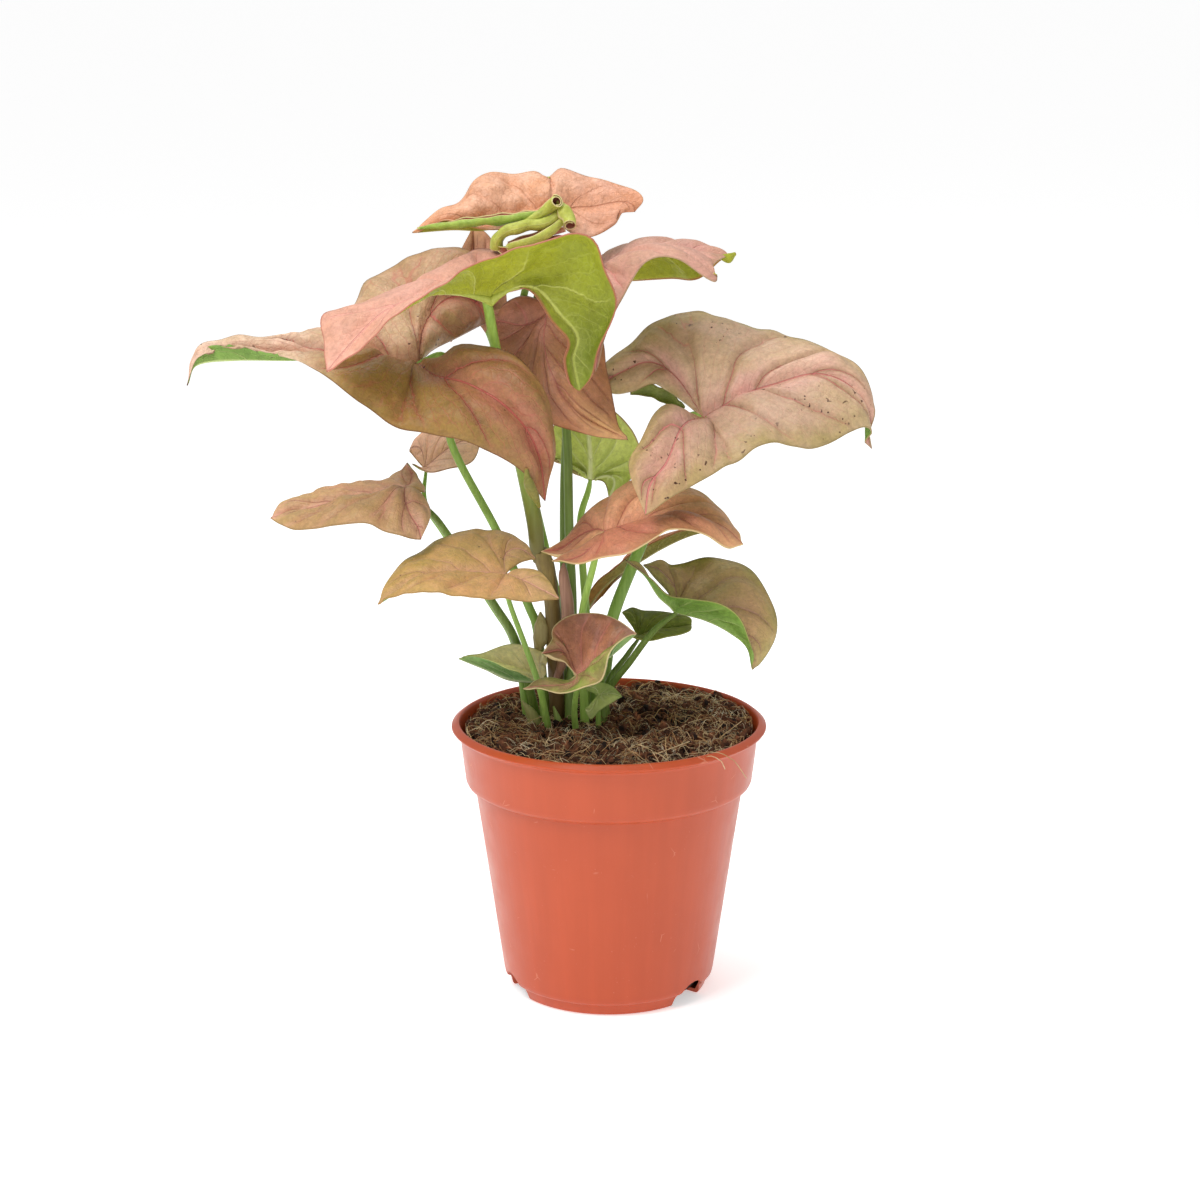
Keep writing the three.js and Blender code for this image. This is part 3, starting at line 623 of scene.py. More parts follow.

# %% [markdown]
# Damp peat is nearly black, red-brown where coconut husk shows, and tan where it has dried. One
# noise pattern decides which, at the size of the crumbs. A finer one lays the dark colour over it in
# small spots: painted shade for the cracks and hollows between crumbs, on top of the peat's own dark.
# The hairs are dry and matt, each mesh a little different in tone. Each row of the table is a dark, a
# middle and a bright colour, the scale of the noise, and the depth of the relief.

# %% Soil, crumb and fibre finishes
EARTHS = (
    (soil, "damp_peat", "120b07", "2c1a11", "54351f", 160.0, 0.0006),
    (crumbs, "peat_crumbs", "1c0f0a", "5e3824", "966040", 200.0, 0.0003),
    (hairs["soil_brown_fibres"], "brown_fibre", "3a2114", "7c5034", "ac7e54", 120.0, 0.0001),
    (hairs["soil_straw_fibres"], "straw_fibre", "b08c60", "dcc094", "f2e2c0", 90.0, 0.0001),
    (hairs["soil_grey_fibres"], "grey_fibre", "8c7c66", "c0ae92", "e8dcc4", 90.0, 0.0001),
    (hairs["soil_long_fibres"], "long_fibre", "a8804f", "d2ae7e", "eed8ae", 60.0, 0.0001),
    (straws, "loose_straw", "a8885e", "cdb088", "e2cfaa", 60.0, 0.0001),
)


def earth(name, dark, middle, bright, scale, depth):
    made, tree, shader = material(name, {"Roughness": 0.92, "Specular IOR Level": 0.25})
    coarse, fine = speckle(tree, scale, 2.0), speckle(tree, scale * 4, 4.0)
    body = tint(tree, ramp(tree, coarse, 0.38, 0.52), paint(dark), paint(middle))
    body = tint(tree, ramp(tree, coarse, 0.55, 0.68), body, paint(bright))
    # The fine spots in the dark colour are painted shade, for the hollows between crumbs and fibres.
    plug(tree, shader.inputs["Base Color"], layer(tree, body, ramp(tree, fine, 0.45, 0.7), 0.6, dark))
    dent(tree, shader, 0.8, depth, fine)
    return made


for piece, *look in EARTHS:
    piece.data.materials.append(earth(*look))
    if piece is not soil:
        mount_extra(piece)
mount(soil, "soil")
print("soil pieces dressed:", len(EARTHS))

# %% [markdown]
# ## The leaves
# An arrowhead leaf has one long rib from the stalk to the tip and two lobes that point back past the
# stalk. No two are bent the same way, so each leaf is set out by a few points, as one would pin a
# real leaf in the air: its rib, the margin of each half from the lobe tip round to the leaf tip, and
# the edge of the notch between the lobes, called the sinus. `stalk` is the way from the soil to the
# blade. Some leaves need a word more: `tip_turn` twists a drying tip, in degrees; `hug` keeps the
# lobe's own rib close to the notch; `sweep` says how strongly the side veins lean towards the tip;
# and `lobe_crinkle` calms the folds in the lobes.

# %% Words for pinning a leaf
def pins(widest, puff, margin, sinus=(), curl=(0, 0, 0)):
    """One half of a blade. widest is the number of the margin point level with the stalk, puff is
    how far the half bulges, and curl is how far the notch edge is bent under."""
    return dict(widest=widest, puff=puff, margin=margin, sinus=sinus, curl=curl)


def taper(radius):
    """The radii of a common stalk: stout at the base, slender below the blade."""
    return [share * radius for share in (1.2, 1.05, 1, 0.95, 0.9, 0.85, 0.8, 0.65, 0.45)]


print("radii of a stalk of 2 mm:", taper(2))

# %% Where every leaf is pinned, in millimetres
LEAVES = {
    "top": dict(
        lobe_crinkle=0.4,
        rib=((-22, 8, 297), (-33, 5, 295), (-46, 4, 292), (-58, 3, 292), (-72, 0, 291)),
        left=pins(2, 1, margin=((-20, 3, 303), (-25, 1, 300), (-31, 0, 298), (-45, -1, 294.5),
                  (-60, -1, 292.2)),
                  sinus=((-21, 6, 300),)),
        right=pins(5, 2, margin=((9.5, 12, 297), (12.3, 15.5, 301.5), (5, 20, 306), (-7, 22, 308),
                   (-18, 24, 312), (-23, 21, 307), (-28, 20, 311), (-39, 20, 311), (-50, 16, 308),
                   (-57, 11, 300), (-66, 5, 295)),
                   sinus=((4.2, 9, 296.6), (2.2, 7, 293), (-6, 3, 289), (-14, 4, 290))),
        stalk=((-32, -4, 205), (-34, 2, 218), (-37, 7, 240), (-32, 10, 265), (-26, 9, 285), (-22, 9, 300)),
        stalk_radii=taper(1.6)),
    "high_left": dict(
        hug=1.2, sweep=0.06,
        rib=((-43, -17, 269), (-55, -22, 272), (-66, -27, 272), (-80, -35, 267), (-92, -42, 256),
             (-100, -45, 247)),
        left=pins(6, -2, margin=((-10.5, -30, 237.5), (-6.5, -33, 243), (-5, -36, 253), (2, -40, 269),
                  (-2, -40, 283), (-8, -38, 294), (-26, -40, 291), (-47, -42, 284), (-62, -44, 275),
                  (-79, -46, 262), (-91, -46, 252)),
                  sinus=((-14.5, -28.5, 240), (-16.5, -26, 248), (-15, -26, 255), (-21, -24, 262),
                  (-28, -22, 272), (-36, -19, 273))),
        right=pins(3, 0, margin=((-20, 4, 266), (-12, 2, 282), (-16, -5, 290), (-29, 0, 286), (-41, 2, 284),
                   (-51, 0, 283), (-69, -6, 274), (-90, -20, 266), (-102, -30, 264), (-101, -38, 255)),
                   sinus=((-30, -5, 271),)),
        stalk=((-26, -1, 168), (-27, -2, 173), (-28, -3, 184), (-32, -6, 206), (-37, -11, 231),
               (-41, -12, 248), (-43, -17, 272)),
        stalk_radii=(2.6, 2.8, 3, 3, 2.4, 1.9, 1.8)),
    "high_right": dict(
        rib=((-4, 8, 277), (11, 6, 284), (26, 8, 284), (37, 10, 282), (45, 12, 281)),
        left=pins(2, 7, margin=((-14, 28, 262), (-2, 36, 268), (9, 34, 268), (23, 32, 269), (33, 24, 270),
                  (41, 17, 278)),
                  sinus=((-10, 18, 272),)),
        right=pins(3, 1, margin=((-5, -15, 242), (0, -14, 257), (4, -13, 266), (8, -12, 274),
                   (15, -11, 281), (24, -12, 281), (38, -14, 274), (38, -2, 279)),
                   sinus=((-10, -5, 262),)),
        stalk=((-15, 1, 98), (-14, 6, 145), (-15, 4, 177), (-16, 5, 217), (-20, 8, 235), (-27, 14, 264),
               (-17, 15, 275), (-4, 9, 278)),
        stalk_radii=taper(1.8)),
    "right": dict(
        tip_turn=150,
        rib=((35, 0, 222), (49, 2, 230), (61, 4, 234), (78, 4, 238), (92, 0, 231), (97, -5, 211.5)),
        left=pins(2, 3, margin=((-7, 16, 234), (4, 25, 242), (27, 32, 256), (55, 32, 250), (80, 22, 244),
                  (95, 8, 235)),
                  sinus=((1, 15, 229), (9, 15, 230), (17.5, 14, 233), (25, 8, 229)), curl=(0, 2, -1)),
        right=pins(2, 2, margin=((13, -40, 194), (29, -40, 204), (44, -35, 211), (58, -28, 217),
                   (76, -22, 215), (93, -10, 220)),
                   sinus=((7, -32, 210), (11, -24, 217), (19, -11, 228))),
        stalk=((-6, 8, 98), (-3, 7, 125), (2, 6, 146), (9, 8, 164), (15, 12, 178), (22, 17, 198),
               (26, 17, 211), (29, 10, 219), (32, 4, 222.5), (35, 0, 222)),
        stalk_radii=taper(2.3)),
    "left": dict(
        rib=((-70, -5, 243), (-92, -7, 247), (-115, -9, 246), (-136, -10, 246), (-151, -10, 244),
             (-155, -10, 236)),
        left=pins(3, 3, margin=((-23, -35, 198), (-35, -42, 213), (-55, -42, 222), (-75, -38, 225),
                  (-88, -33, 232), (-101, -26, 240), (-114, -19, 247), (-136, -14, 251), (-149, -12, 248)),
                  sinus=((-20, -34, 220), (-23, -31, 237), (-34, -27, 250), (-49, -18, 252),
                  (-62, -10, 246))),
        right=pins(3, 2, margin=((-46, 25, 254), (-46, 38, 270), (-59, 40, 280), (-80, 38, 274),
                   (-93, 30, 263), (-103, 20, 251), (-117, 3, 251), (-136, -5, 252), (-150, -8, 249)),
                   sinus=((-56, 15, 250), (-65, 3, 247))),
        stalk=((-24, 9, 98), (-27, 8, 136), (-31, 8, 149), (-42, 9, 176), (-59, 4, 212), (-58, 1, 232),
               (-61, -3, 246), (-70, -6, 244)),
        stalk_radii=taper(1.7)),
    "high_back": dict(
        rib=((-51, 44, 251), (-52, 50, 270), (-52, 48, 287)),
        left=pins(2, 1, margin=((-61, 46, 243), (-66, 46, 252), (-65, 48, 262), (-59, 48, 274),
                  (-55, 48, 282)),
                  sinus=((-56, 44, 249),)),
        right=pins(2, 1, margin=((-46, 46, 244), (-40, 46, 254), (-40, 48, 264), (-42, 48, 277),
                   (-47, 48, 285)),
                   sinus=((-49, 44, 249),)),
        stalk=((-13, 20, 98), (-16, 21, 130), (-25, 24, 170), (-36, 32, 215), (-46, 44, 246),
               (-51, 47, 252)),
        stalk_radii=taper(1.5)),
    "front_middle": dict(
        rib=((-23, 2, 261), (-24, -6, 252), (-21, -13, 241), (-12, -18, 228), (7, -22, 218)),
        left=pins(2, 1, margin=((-9, 4, 259), (-3, -1, 252), (-1, -7, 242), (1, -13, 231), (3, -19, 223)),
                  sinus=((-17, 5, 266),)),
        right=pins(2, 1, margin=((-42, 3, 257), (-43, 2, 248), (-38, -2, 236), (-29, -11, 227),
                   (-18, -17, 222), (-3, -20, 219)),
                   sinus=((-39, 3, 264), (-32, 5, 267), (-25, 4, 265))),
        stalk=((-17, 13, 98), (-17, 12, 140), (-17, 12, 190), (-16, 12, 215), (-15, 9, 238), (-18, 6, 252),
               (-23, 2, 262)),
        stalk_radii=taper(1.7)),
    "back_right": dict(
        rib=((-7, 22, 194), (-7, 21, 204), (-8, 20, 214), (-10, 19, 225)),
        left=pins(2, 2, margin=((0, 22, 187), (6, 20, 192), (12, 19, 203), (9, 18, 213), (3, 17, 220),
                  (-4, 17, 225)),
                  sinus=((-2, 22, 193),)),
        right=pins(1, 2, margin=((-20, 24, 201), (-24, 24, 204), (-22, 22, 212), (-18, 20, 220)),
                   sinus=((-14, 23, 198),)),
        stalk=((-8, 16, 98), (-8, 16, 130), (-10, 17, 160), (-11, 17, 179), (-8, 20, 190), (-7, 24, 196)),
        stalk_radii=taper(1.5)),
    "back_left": dict(
        rib=((-71, 30, 197), (-60, 34, 205), (-49, 38, 208)),
        left=pins(2, 1, margin=((-77, 36, 203), (-75, 42, 207), (-68, 46, 210), (-58, 46, 210)),
                  sinus=((-74, 33, 200),)),
        right=pins(2, 1, margin=((-75, 24, 200), (-68, 22, 197), (-61, 24, 198), (-52, 30, 200)),
                   sinus=((-73, 27, 198),)),
        stalk=((-31, 12, 98), (-36, 14, 130), (-45, 14, 147), (-62, 13, 174), (-70, 18, 186),
               (-71, 30, 199)),
        stalk_radii=taper(1.3)),
    "low_left": dict(
        rib=((-76, 0, 196), (-90, 0, 193), (-108, -1, 189), (-127, 0, 184)),
        left=pins(2, 2, margin=((-69, -22, 181), (-77, -24, 182), (-88, -24, 187), (-100, -20, 185),
                  (-114, -12, 182), (-122, -5, 182)),
                  sinus=((-66, -12, 188), (-69, -4, 193))),
        right=pins(2, 2, margin=((-77, 20, 201), (-80, 26, 196), (-88, 24, 190), (-101, 20, 189),
                   (-113, 12, 189), (-122, 5, 187)),
                   sinus=((-71, 13, 195), (-69.5, 6, 192.5))),
        stalk=((-27, 14, 98), (-35, 9, 132), (-44, 8, 149), (-61, 7, 176), (-67, 4, 185), (-76, 0, 194)),
        stalk_radii=taper(1.6)),
    "front_left": dict(
        rib=((-38, -22, 168), (-56, -27, 170), (-71, -33, 168), (-84, -40, 161)),
        left=pins(2, 1, margin=((-18, -32, 161), (-28, -40, 162), (-41, -46, 164), (-59, -48, 166),
                  (-74, -45, 166)),
                  sinus=((-23, -28, 167), (-28, -24, 170))),
        right=pins(2, 1, margin=((-27, -11, 171), (-35, -1, 177), (-50, 2, 179), (-61, -2, 177),
                   (-71, -10, 173), (-79, -24, 168)),
                   sinus=((-33, -14, 170),)),
        stalk=((-22, -3, 98), (-26, -12, 121), (-31, -13, 137), (-37, -15, 155), (-38, -21, 170)),
        stalk_radii=taper(1.2)),
    "front_right": dict(
        rib=((-2, -22, 184), (11, -20, 187), (28, -21, 189), (41, -25, 187), (49, -30, 181)),
        left=pins(3, 1, margin=((-25, -20, 176), (-17, -12, 178), (-8, -3, 186), (1, 2, 192), (12, 4, 198),
                  (30, 0, 195), (40, -10, 190), (45, -20, 185)),
                  sinus=((-18, -20, 173.5), (-10, -20.5, 176.5))),
        right=pins(2, 1, margin=((-21, -26, 174), (-12, -34, 174), (-1, -40, 177), (9, -42, 180),
                   (17, -40, 186), (23, -38, 188), (35, -36, 185), (43, -33, 180)),
                   sinus=((-16, -24, 175), (-9, -24, 179))),
        stalk=((-9, 1, 98), (-10, 0, 130), (-10, -2, 148), (-6, -8, 167), (-4, -14, 176), (-2, -21, 186)),
        stalk_radii=taper(1.5)),
    "edge_right": dict(
        rib=((7, 26, 159), (20, 26, 167), (33, 24, 173), (48, 20, 176)),
        left=pins(2, 1, margin=((-3, 31, 146), (2, 38, 151), (12, 38, 158), (24, 38, 165), (37, 32, 171)),
                  sinus=((0, 29, 150),)),
        right=pins(2, 1, margin=((-10, 20, 141), (-6, 17, 152), (5, 15, 163), (20, 15, 172), (35, 16, 176)),
                   sinus=((-1, 22, 150),)),
        stalk=((-3, 16, 98), (1, 20, 130), (4, 24, 150), (8, 26, 160)),
        stalk_radii=taper(1.3)),
    "low_right": dict(
        rib=((25, -5, 150), (36, -10, 148), (45, -13, 144), (52, -14, 138), (54, -14, 129)),
        left=pins(3, 1, margin=((13, 5, 165), (19, 10, 165), (24, 14, 162), (33, 16, 164), (44, 14, 164),
                  (55, 8, 161), (62, 0, 150), (62, -6, 140), (57, -11, 132)),
                  sinus=((17, 0, 161), (22, -3, 156))),
        right=pins(3, -1, margin=((6, -12, 171), (15, -14, 164), (22, -15, 158), (30, -17, 157),
                   (39, -20, 156), (47, -20, 151), (52, -18, 142)),
                   sinus=((12, -10, 168), (18, -9, 157))),
        stalk=((-2, 3, 98), (-1, 4, 114), (8, 1, 128), (17, -2, 141), (25, -5, 152)),
        stalk_radii=taper(1.5)),
    "low_back": dict(
        rib=((11, 15, 134), (22, 18, 136), (32, 22, 137)),
        left=pins(2, 1, margin=((5, 26, 141), (9, 30, 142), (14, 30, 140), (23, 28, 140), (31, 25, 139)),
                  sinus=((8, 21, 138),)),
        right=pins(2, 1, margin=((5, 10, 139), (9, 6, 136), (17, 6, 135), (24, 10, 135), (31, 16, 136)),
                   sinus=((8, 12, 137),)),
        stalk=((0, 11, 98), (-1, 12, 115), (7, 14, 127), (12, 15, 136)),
        stalk_radii=taper(1.2)),
    "small_front": dict(
        rib=((-12, -24, 130), (-1, -29, 138), (10, -28, 147)),
        left=pins(2, -1, margin=((-25, -20, 137), (-21, -16, 141), (-20, -14, 146), (-13, -13, 150),
                  (-3, -16, 151), (4, -22, 150)),
                  sinus=((-21, -22, 135), (-16, -23, 134))),
        right=pins(3, 1, margin=((-32, -22, 124), (-24, -28, 125), (-14, -34, 127), (-3, -38, 131),
                   (1, -36, 141), (6, -33, 145)),
                   sinus=((-25, -21, 126), (-16, -22, 127))),
        stalk=((-12, -7, 98), (-13, -13, 112), (-12, -20, 123), (-12, -25, 132)),
        stalk_radii=taper(1.2)),
    "small_left": dict(
        rib=((-25, -3, 122), (-37, -8, 124), (-46, -12, 129), (-56, -16, 134)),
        left=pins(2, 0, margin=((-28, -8, 123), (-33, -13, 127), (-38, -16, 130), (-48, -16, 134))),
        right=pins(2, 1, margin=((-24, 2, 124), (-26, 4, 130), (-33, 3, 133), (-39, 1, 134),
                   (-47, -6, 133))),
        stalk=((-24, 2, 98), (-25, 0, 112), (-25, -2, 124)),
        stalk_radii=taper(1.2)),
    "base_right": dict(
        rib=((-4, -9, 118), (1, -11, 119), (5, -12, 118)),
        left=pins(2, 0, margin=((-10, -6, 120), (-7, -4, 121), (-2, -4, 121), (2, -7, 120))),
        right=pins(2, 1, margin=((-9, -13, 113), (-7, -15, 110), (-4, -15, 113), (1, -14, 116))),
        stalk=((-4, -3, 98), (-4, -5, 112), (-4, -9, 120)),
        stalk_radii=taper(1)),
}
print("leaves:", ", ".join(LEAVES))

# %% [markdown]
# A grid primitive is a good start for a leaf: a row of it crosses a half from the rib to the
# margin, and the rows follow each other from the lobe tip to the leaf tip. Two halves, joined along
# the rib, make a blade. Shaping a twisted leaf by pulling on it with transform operators would be
# guesswork, so code puts every grid point in its place instead. A smooth curve through the pinned
# points gives the outline.

# %% Smooth curves and random fields
def smooth(points, shares):
    """Places along a curve that passes evenly through the points; shares run from 0 to 1."""
    points = np.array(points, float)
    points = np.vstack([2 * points[0] - points[1], points, 2 * points[-1] - points[-2]])
    last = len(points) - 4
    along = np.clip(np.asarray(shares, float) * (last + 1), 0, last + 1)
    step = np.minimum(along.astype(int), last)
    t = (along - step)[:, None]
    before, here, there, after = (points[step + i] for i in range(4))
    leave, arrive = 0.5 * (there - before), 0.5 * (after - here)
    return ((2 * t**3 - 3 * t**2 + 1) * here + (t**3 - 2 * t**2 + t) * leave
            + (3 * t**2 - 2 * t**3) * there + (t**3 - t**2) * arrive)


def soft_step(value, low, high):
    """Rises smoothly from 0 at low to 1 at high."""
    t = np.clip((value - low) / (high - low), 0, 1)
    return t * t * (3 - 2 * t)


def hump(gap, width):
    """1 at a line and 0 well away from it."""
    return np.exp(-(gap / width) ** 2)


def random_waves(dice, count, shortest, longest):
    """Waves in random directions for rumple(), with wavelengths in millimetres."""
    waves = []
    for _ in range(count):
        way = np.array([dice.gauss(0, 1) for _ in range(3)])
        way *= 2 * math.pi / (dice.uniform(shortest, longest) * np.linalg.norm(way))
        waves.append((way, dice.uniform(0, 2 * math.pi)))
    return waves


def rumple(place, waves):
    """A smooth random field over places in space, mostly between -1 and 1."""
    return sum(np.sin(place @ np.array(way) + start) for way, start in waves) / math.sqrt(len(waves))


def length_of(points):
    return float(np.linalg.norm(np.diff(np.array(points, float), axis=0), axis=1).sum())


print("the left leaf's rib is", round(length_of(LEAVES["left"]["rib"])), "mm long")

# %% The smooth sheet of half a blade
LOBE_SHARE = 30
BLADE_SHARE = 66
ROWS = LOBE_SHARE + BLADE_SHARE
COLUMNS = 22
ROW = np.arange(ROWS + 1)
IN_LOBE = ROW <= LOBE_SHARE
SHARE = np.where(IN_LOBE, ROW / LOBE_SHARE, (ROW - LOBE_SHARE) / BLADE_SHARE)
ACROSS = (np.linspace(0, 1, COLUMNS + 1) ** 1.2)[None, :]
ALONG = np.where(IN_LOBE, SHARE - 1, SHARE)[:, None] + 0 * ACROSS


def twist_tip(place, inner, degrees):
    """Turns the last stretch of a blade about its rib, as a drying tip does."""
    ahead = np.gradient(inner, axis=0)
    axis = (ahead / np.maximum(np.linalg.norm(ahead, axis=1), 1e-9)[:, None])[:, None]
    turn = math.radians(degrees) * soft_step(ALONG, 0.84, 0.97)[..., None]
    arm = place - inner[:, None]
    level = (arm * axis).sum(axis=2, keepdims=True) * axis
    turned = level + (arm - level) * np.cos(turn) + np.cross(axis, arm) * np.sin(turn)
    return inner[:, None] + turned


def smooth_sheet(leaf, half, sign):
    """The grid points of one half before any vein or fold, and the width of each row.

    Row 0 is at the lobe tip, and column 0 lies along the notch edge and the rib."""
    attach, tip, lobe_tip = leaf["rib"][0], leaf["rib"][-1], half["margin"][0]
    sinus = smooth((lobe_tip, *half["sinus"], attach), SHARE)
    inner = np.where(IN_LOBE[:, None], sinus, smooth(leaf["rib"], SHARE))
    split = half["widest"] / len(half["margin"])
    outer = smooth((*half["margin"], tip), np.where(IN_LOBE, split * SHARE, split + (1 - split) * SHARE))
    place = inner[:, None] + (outer - inner)[:, None] * ACROSS[..., None]

    up = np.cross(np.subtract(tip, attach), np.subtract(half["margin"][half["widest"]], attach)) * sign
    up = up / np.linalg.norm(up)
    swell = np.sin(math.pi * ROW / ROWS)[:, None] * np.sin(math.pi * ACROSS)
    place = place + half["puff"] * swell[..., None] * up
    under = np.where(IN_LOBE, np.sin(math.pi * SHARE) ** 0.7, 0)[:, None] * (1 - soft_step(ACROSS, 0, 0.3))
    place = place + under[..., None] * np.array(half["curl"], float)
    width = np.linalg.norm(outer - inner, axis=1)[:, None]
    return twist_tip(place, inner, leaf.get("tip_turn", 0)), width


print("a half blade has", ROWS, "rows of", COLUMNS, "faces")

# %% [markdown]
# On the way each point learns how far it is from the rib and from the margin, and which side vein it
# is near. The side veins are counted outwards from the stalk, so a whole number is a vein and a half
# is the middle of the field between two. The finish reads those numbers later, which is how veins
# follow a leaf however it bends.

# %% What every point of a half knows
BLADE_VEINS = 4.3
LOBE_VEINS = 2.6
LOBE_RIB_LEAN = 0.55


def vein_numbers(leaf, half, sign, place, width, waves):
    """Gaps to rib and margin in millimetres, the place along the leaf, and the vein count."""
    in_lobe = IN_LOBE[:, None]
    lean = (1 - SHARE) ** leaf["hug"] if "hug" in leaf else 1 - SHARE**4
    spine = np.where(IN_LOBE, LOBE_RIB_LEAN * lean, 0)[:, None]
    edge_gap = np.minimum((1 - ACROSS) * width, np.where(in_lobe, ACROSS * width, 1e3))
    aside = np.abs(ACROSS - spine) * np.where(in_lobe, 2, 1)
    sweep = leaf.get("sweep", 0.36) * aside**1.2 * np.abs(ALONG) / (np.abs(ALONG) + 0.4)
    fan = np.abs(ALONG) ** (0.62 + 0.38 * np.clip(aside, 0, 1))
    count = np.where(in_lobe, -LOBE_VEINS, BLADE_VEINS) * (fan - sweep)
    lobe_length = length_of((leaf["rib"][0], half["margin"][0]))
    pitch = np.where(in_lobe, lobe_length / LOBE_VEINS, length_of(leaf["rib"]) / BLADE_VEINS)
    return {"rib_gap": (ACROSS - spine) * width, "edge_gap": edge_gap, "along": ALONG,
            "side_vein": count + 0.06 * rumple(place, waves[:3]), "vein_pitch": pitch + 0 * ACROSS,
            "right_half": np.full_like(ALONG, 0.0 if sign > 0 else 1.0)}


print("side veins to a half:", BLADE_VEINS, "and to a lobe:", LOBE_VEINS)

# %% [markdown]
# The flesh between two veins swells a little, like a quilt: the ribs and side veins lie in grooves.
# Long folds run over the whole leaf and short ripples along its margin. All fade out at the tips,
# where the rows crowd together, and `size` makes them finer on a small leaf.

# %% Quilting, folds and ripples
FULL_SIZE = 55


def relief(leaf, numbers, place, width, waves, crinkle, groove):
    """How far each point of a smooth sheet is lifted, in millimetres."""
    rib_gap, edge_gap, along = (numbers[key] for key in ("rib_gap", "edge_gap", "along"))
    vein_gap = np.abs(numbers["side_vein"] - np.round(numbers["side_vein"])) * numbers["vein_pitch"]
    size = min(1.0, length_of(leaf["rib"]) / FULL_SIZE)
    off_rib = 1 - hump(rib_gap, 1.9 * size + 0.4)
    off_vein = 1 - hump(vein_gap, 1.4 * size + 0.3)
    inland = soft_step(edge_gap, 0.4, 6 * size) * soft_step(width, 5, 18)
    inland = inland * soft_step(0.97 - along, 0, 0.4)
    ripple = rumple(place * 1.6, waves[3:]) * soft_step(ACROSS, 0.45, 1) ** 2
    folds = rumple(place, waves) + 0.3 * rumple(place * 3.1, waves[2:]) * soft_step(edge_gap, 0, 4)
    quilt = off_vein * inland * (1 - hump(rib_gap, 3.6 * size + 0.6))
    lift = (groove * (off_rib + 1.7 * quilt) + 0.45 * ripple) * size
    calm = 1 - (1 - leaf.get("lobe_crinkle", 1)) * soft_step(-along, 0, 0.3)
    lift = lift + crinkle * folds * calm * off_rib * soft_step(1 - along, 0, 0.35)
    ends = soft_step(ROW, 0, 7) * soft_step(ROWS - ROW, 0, 7)
    return lift * ends[:, None] * np.where(ACROSS > 0, 1, 0)


def half_shape(leaf, half, sign, waves, crinkle, groove):
    """Every grid point of one half, its normals, and the numbers that its finish needs."""
    place, width = smooth_sheet(leaf, half, sign)
    numbers = vein_numbers(leaf, half, sign, place, width, waves)
    normal = np.cross(np.gradient(place, axis=0), np.gradient(place, axis=1)) * sign
    normal /= np.maximum(np.linalg.norm(normal, axis=2), 1e-9)[..., None]
    lift = relief(leaf, numbers, place, width, waves, crinkle, groove)
    return place + lift[..., None] * normal, normal, numbers


print("folds reach full size on ribs longer than", FULL_SIZE, "mm")

# %% [markdown]
# Two steps serve for leaves and later for curled strips. A grid primitive is bent into place, and a
# Solidify modifier gives the sheet its thickness, with a second finish on its other side.

# %% Bend a grid and thicken it
def bend_grid(name, place, numbers):
    """A grid primitive whose points are moved to place[row, column] and carry the numbers there."""
    rows, columns = place.shape[0] - 1, place.shape[1] - 1
    bpy.ops.object.select_all(action="DESELECT")
    bpy.ops.mesh.primitive_grid_add(x_subdivisions=columns, y_subdivisions=rows, size=1)
    piece = newest(name)
    mesh = piece.data
    spots = np.zeros(len(mesh.vertices) * 3)
    mesh.vertices.foreach_get("co", spots)
    spots = spots.reshape(-1, 3)
    column = np.rint((spots[:, 0] + 0.5) * columns).astype(int)
    row = np.rint((spots[:, 1] + 0.5) * rows).astype(int)
    mesh.vertices.foreach_set("co", (place[row, column] * MM).ravel())
    for key, values in numbers.items():
        mesh.attributes.new(key, "FLOAT", "POINT").data.foreach_set("value", values[row, column])
    return piece


def thicken(piece, skins, thickness, offset):
    """Gives a sheet its two finishes, and its thickness in millimetres. An offset of -1 puts all of
    the thickness below the sheet, and 0 puts half of it on each side."""
    for finish in skins:
        piece.data.materials.append(finish)
    thick = piece.modifiers.new("leaf_thickness", "SOLIDIFY")
    thick.thickness = thickness * MM
    thick.offset = offset
    thick.material_offset = 1
    finish_modifiers(piece)
    bpy.ops.object.shade_smooth()


print("sheets are bent from grids and thickened by Solidify")

# %% [markdown]
# The halves of a leaf are joined and their doubled points along the rib are merged before the sheet
# gets its thickness downwards. The ribs then stand out from the underside, as on a real leaf.

# %% From two halves to a leaf
LEAF_THICKNESS = 0.45
RIB_HEIGHT = 1.0
STALK_SEAT = 0.9
FOLD_WAVES = dict(count=9, shortest=11, longest=34)


def raise_ribs(mesh, upper_count):
    """Pushes the underside outwards along the three ribs. Solidify lists underside points last."""
    count = len(mesh.vertices)
    spots, outward = np.zeros(count * 3), np.zeros(count * 3)
    rib_gap, along = np.zeros(count), np.zeros(count)
    mesh.vertices.foreach_get("co", spots)
    mesh.vertices.foreach_get("normal", outward)
    mesh.attributes["rib_gap"].data.foreach_get("value", rib_gap)
    mesh.attributes["along"].data.foreach_get("value", along)
    wide = np.where(along >= 0, 0.9, 1.3) + 0.8 * hump(along, 0.1)
    swell = RIB_HEIGHT * hump(rib_gap, wide) * (1 - np.abs(along)) ** 0.7
    swell[:upper_count] = 0
    moved = spots.reshape(-1, 3) + swell[:, None] * MM * outward.reshape(-1, 3)
    mesh.vertices.foreach_set("co", moved.ravel())


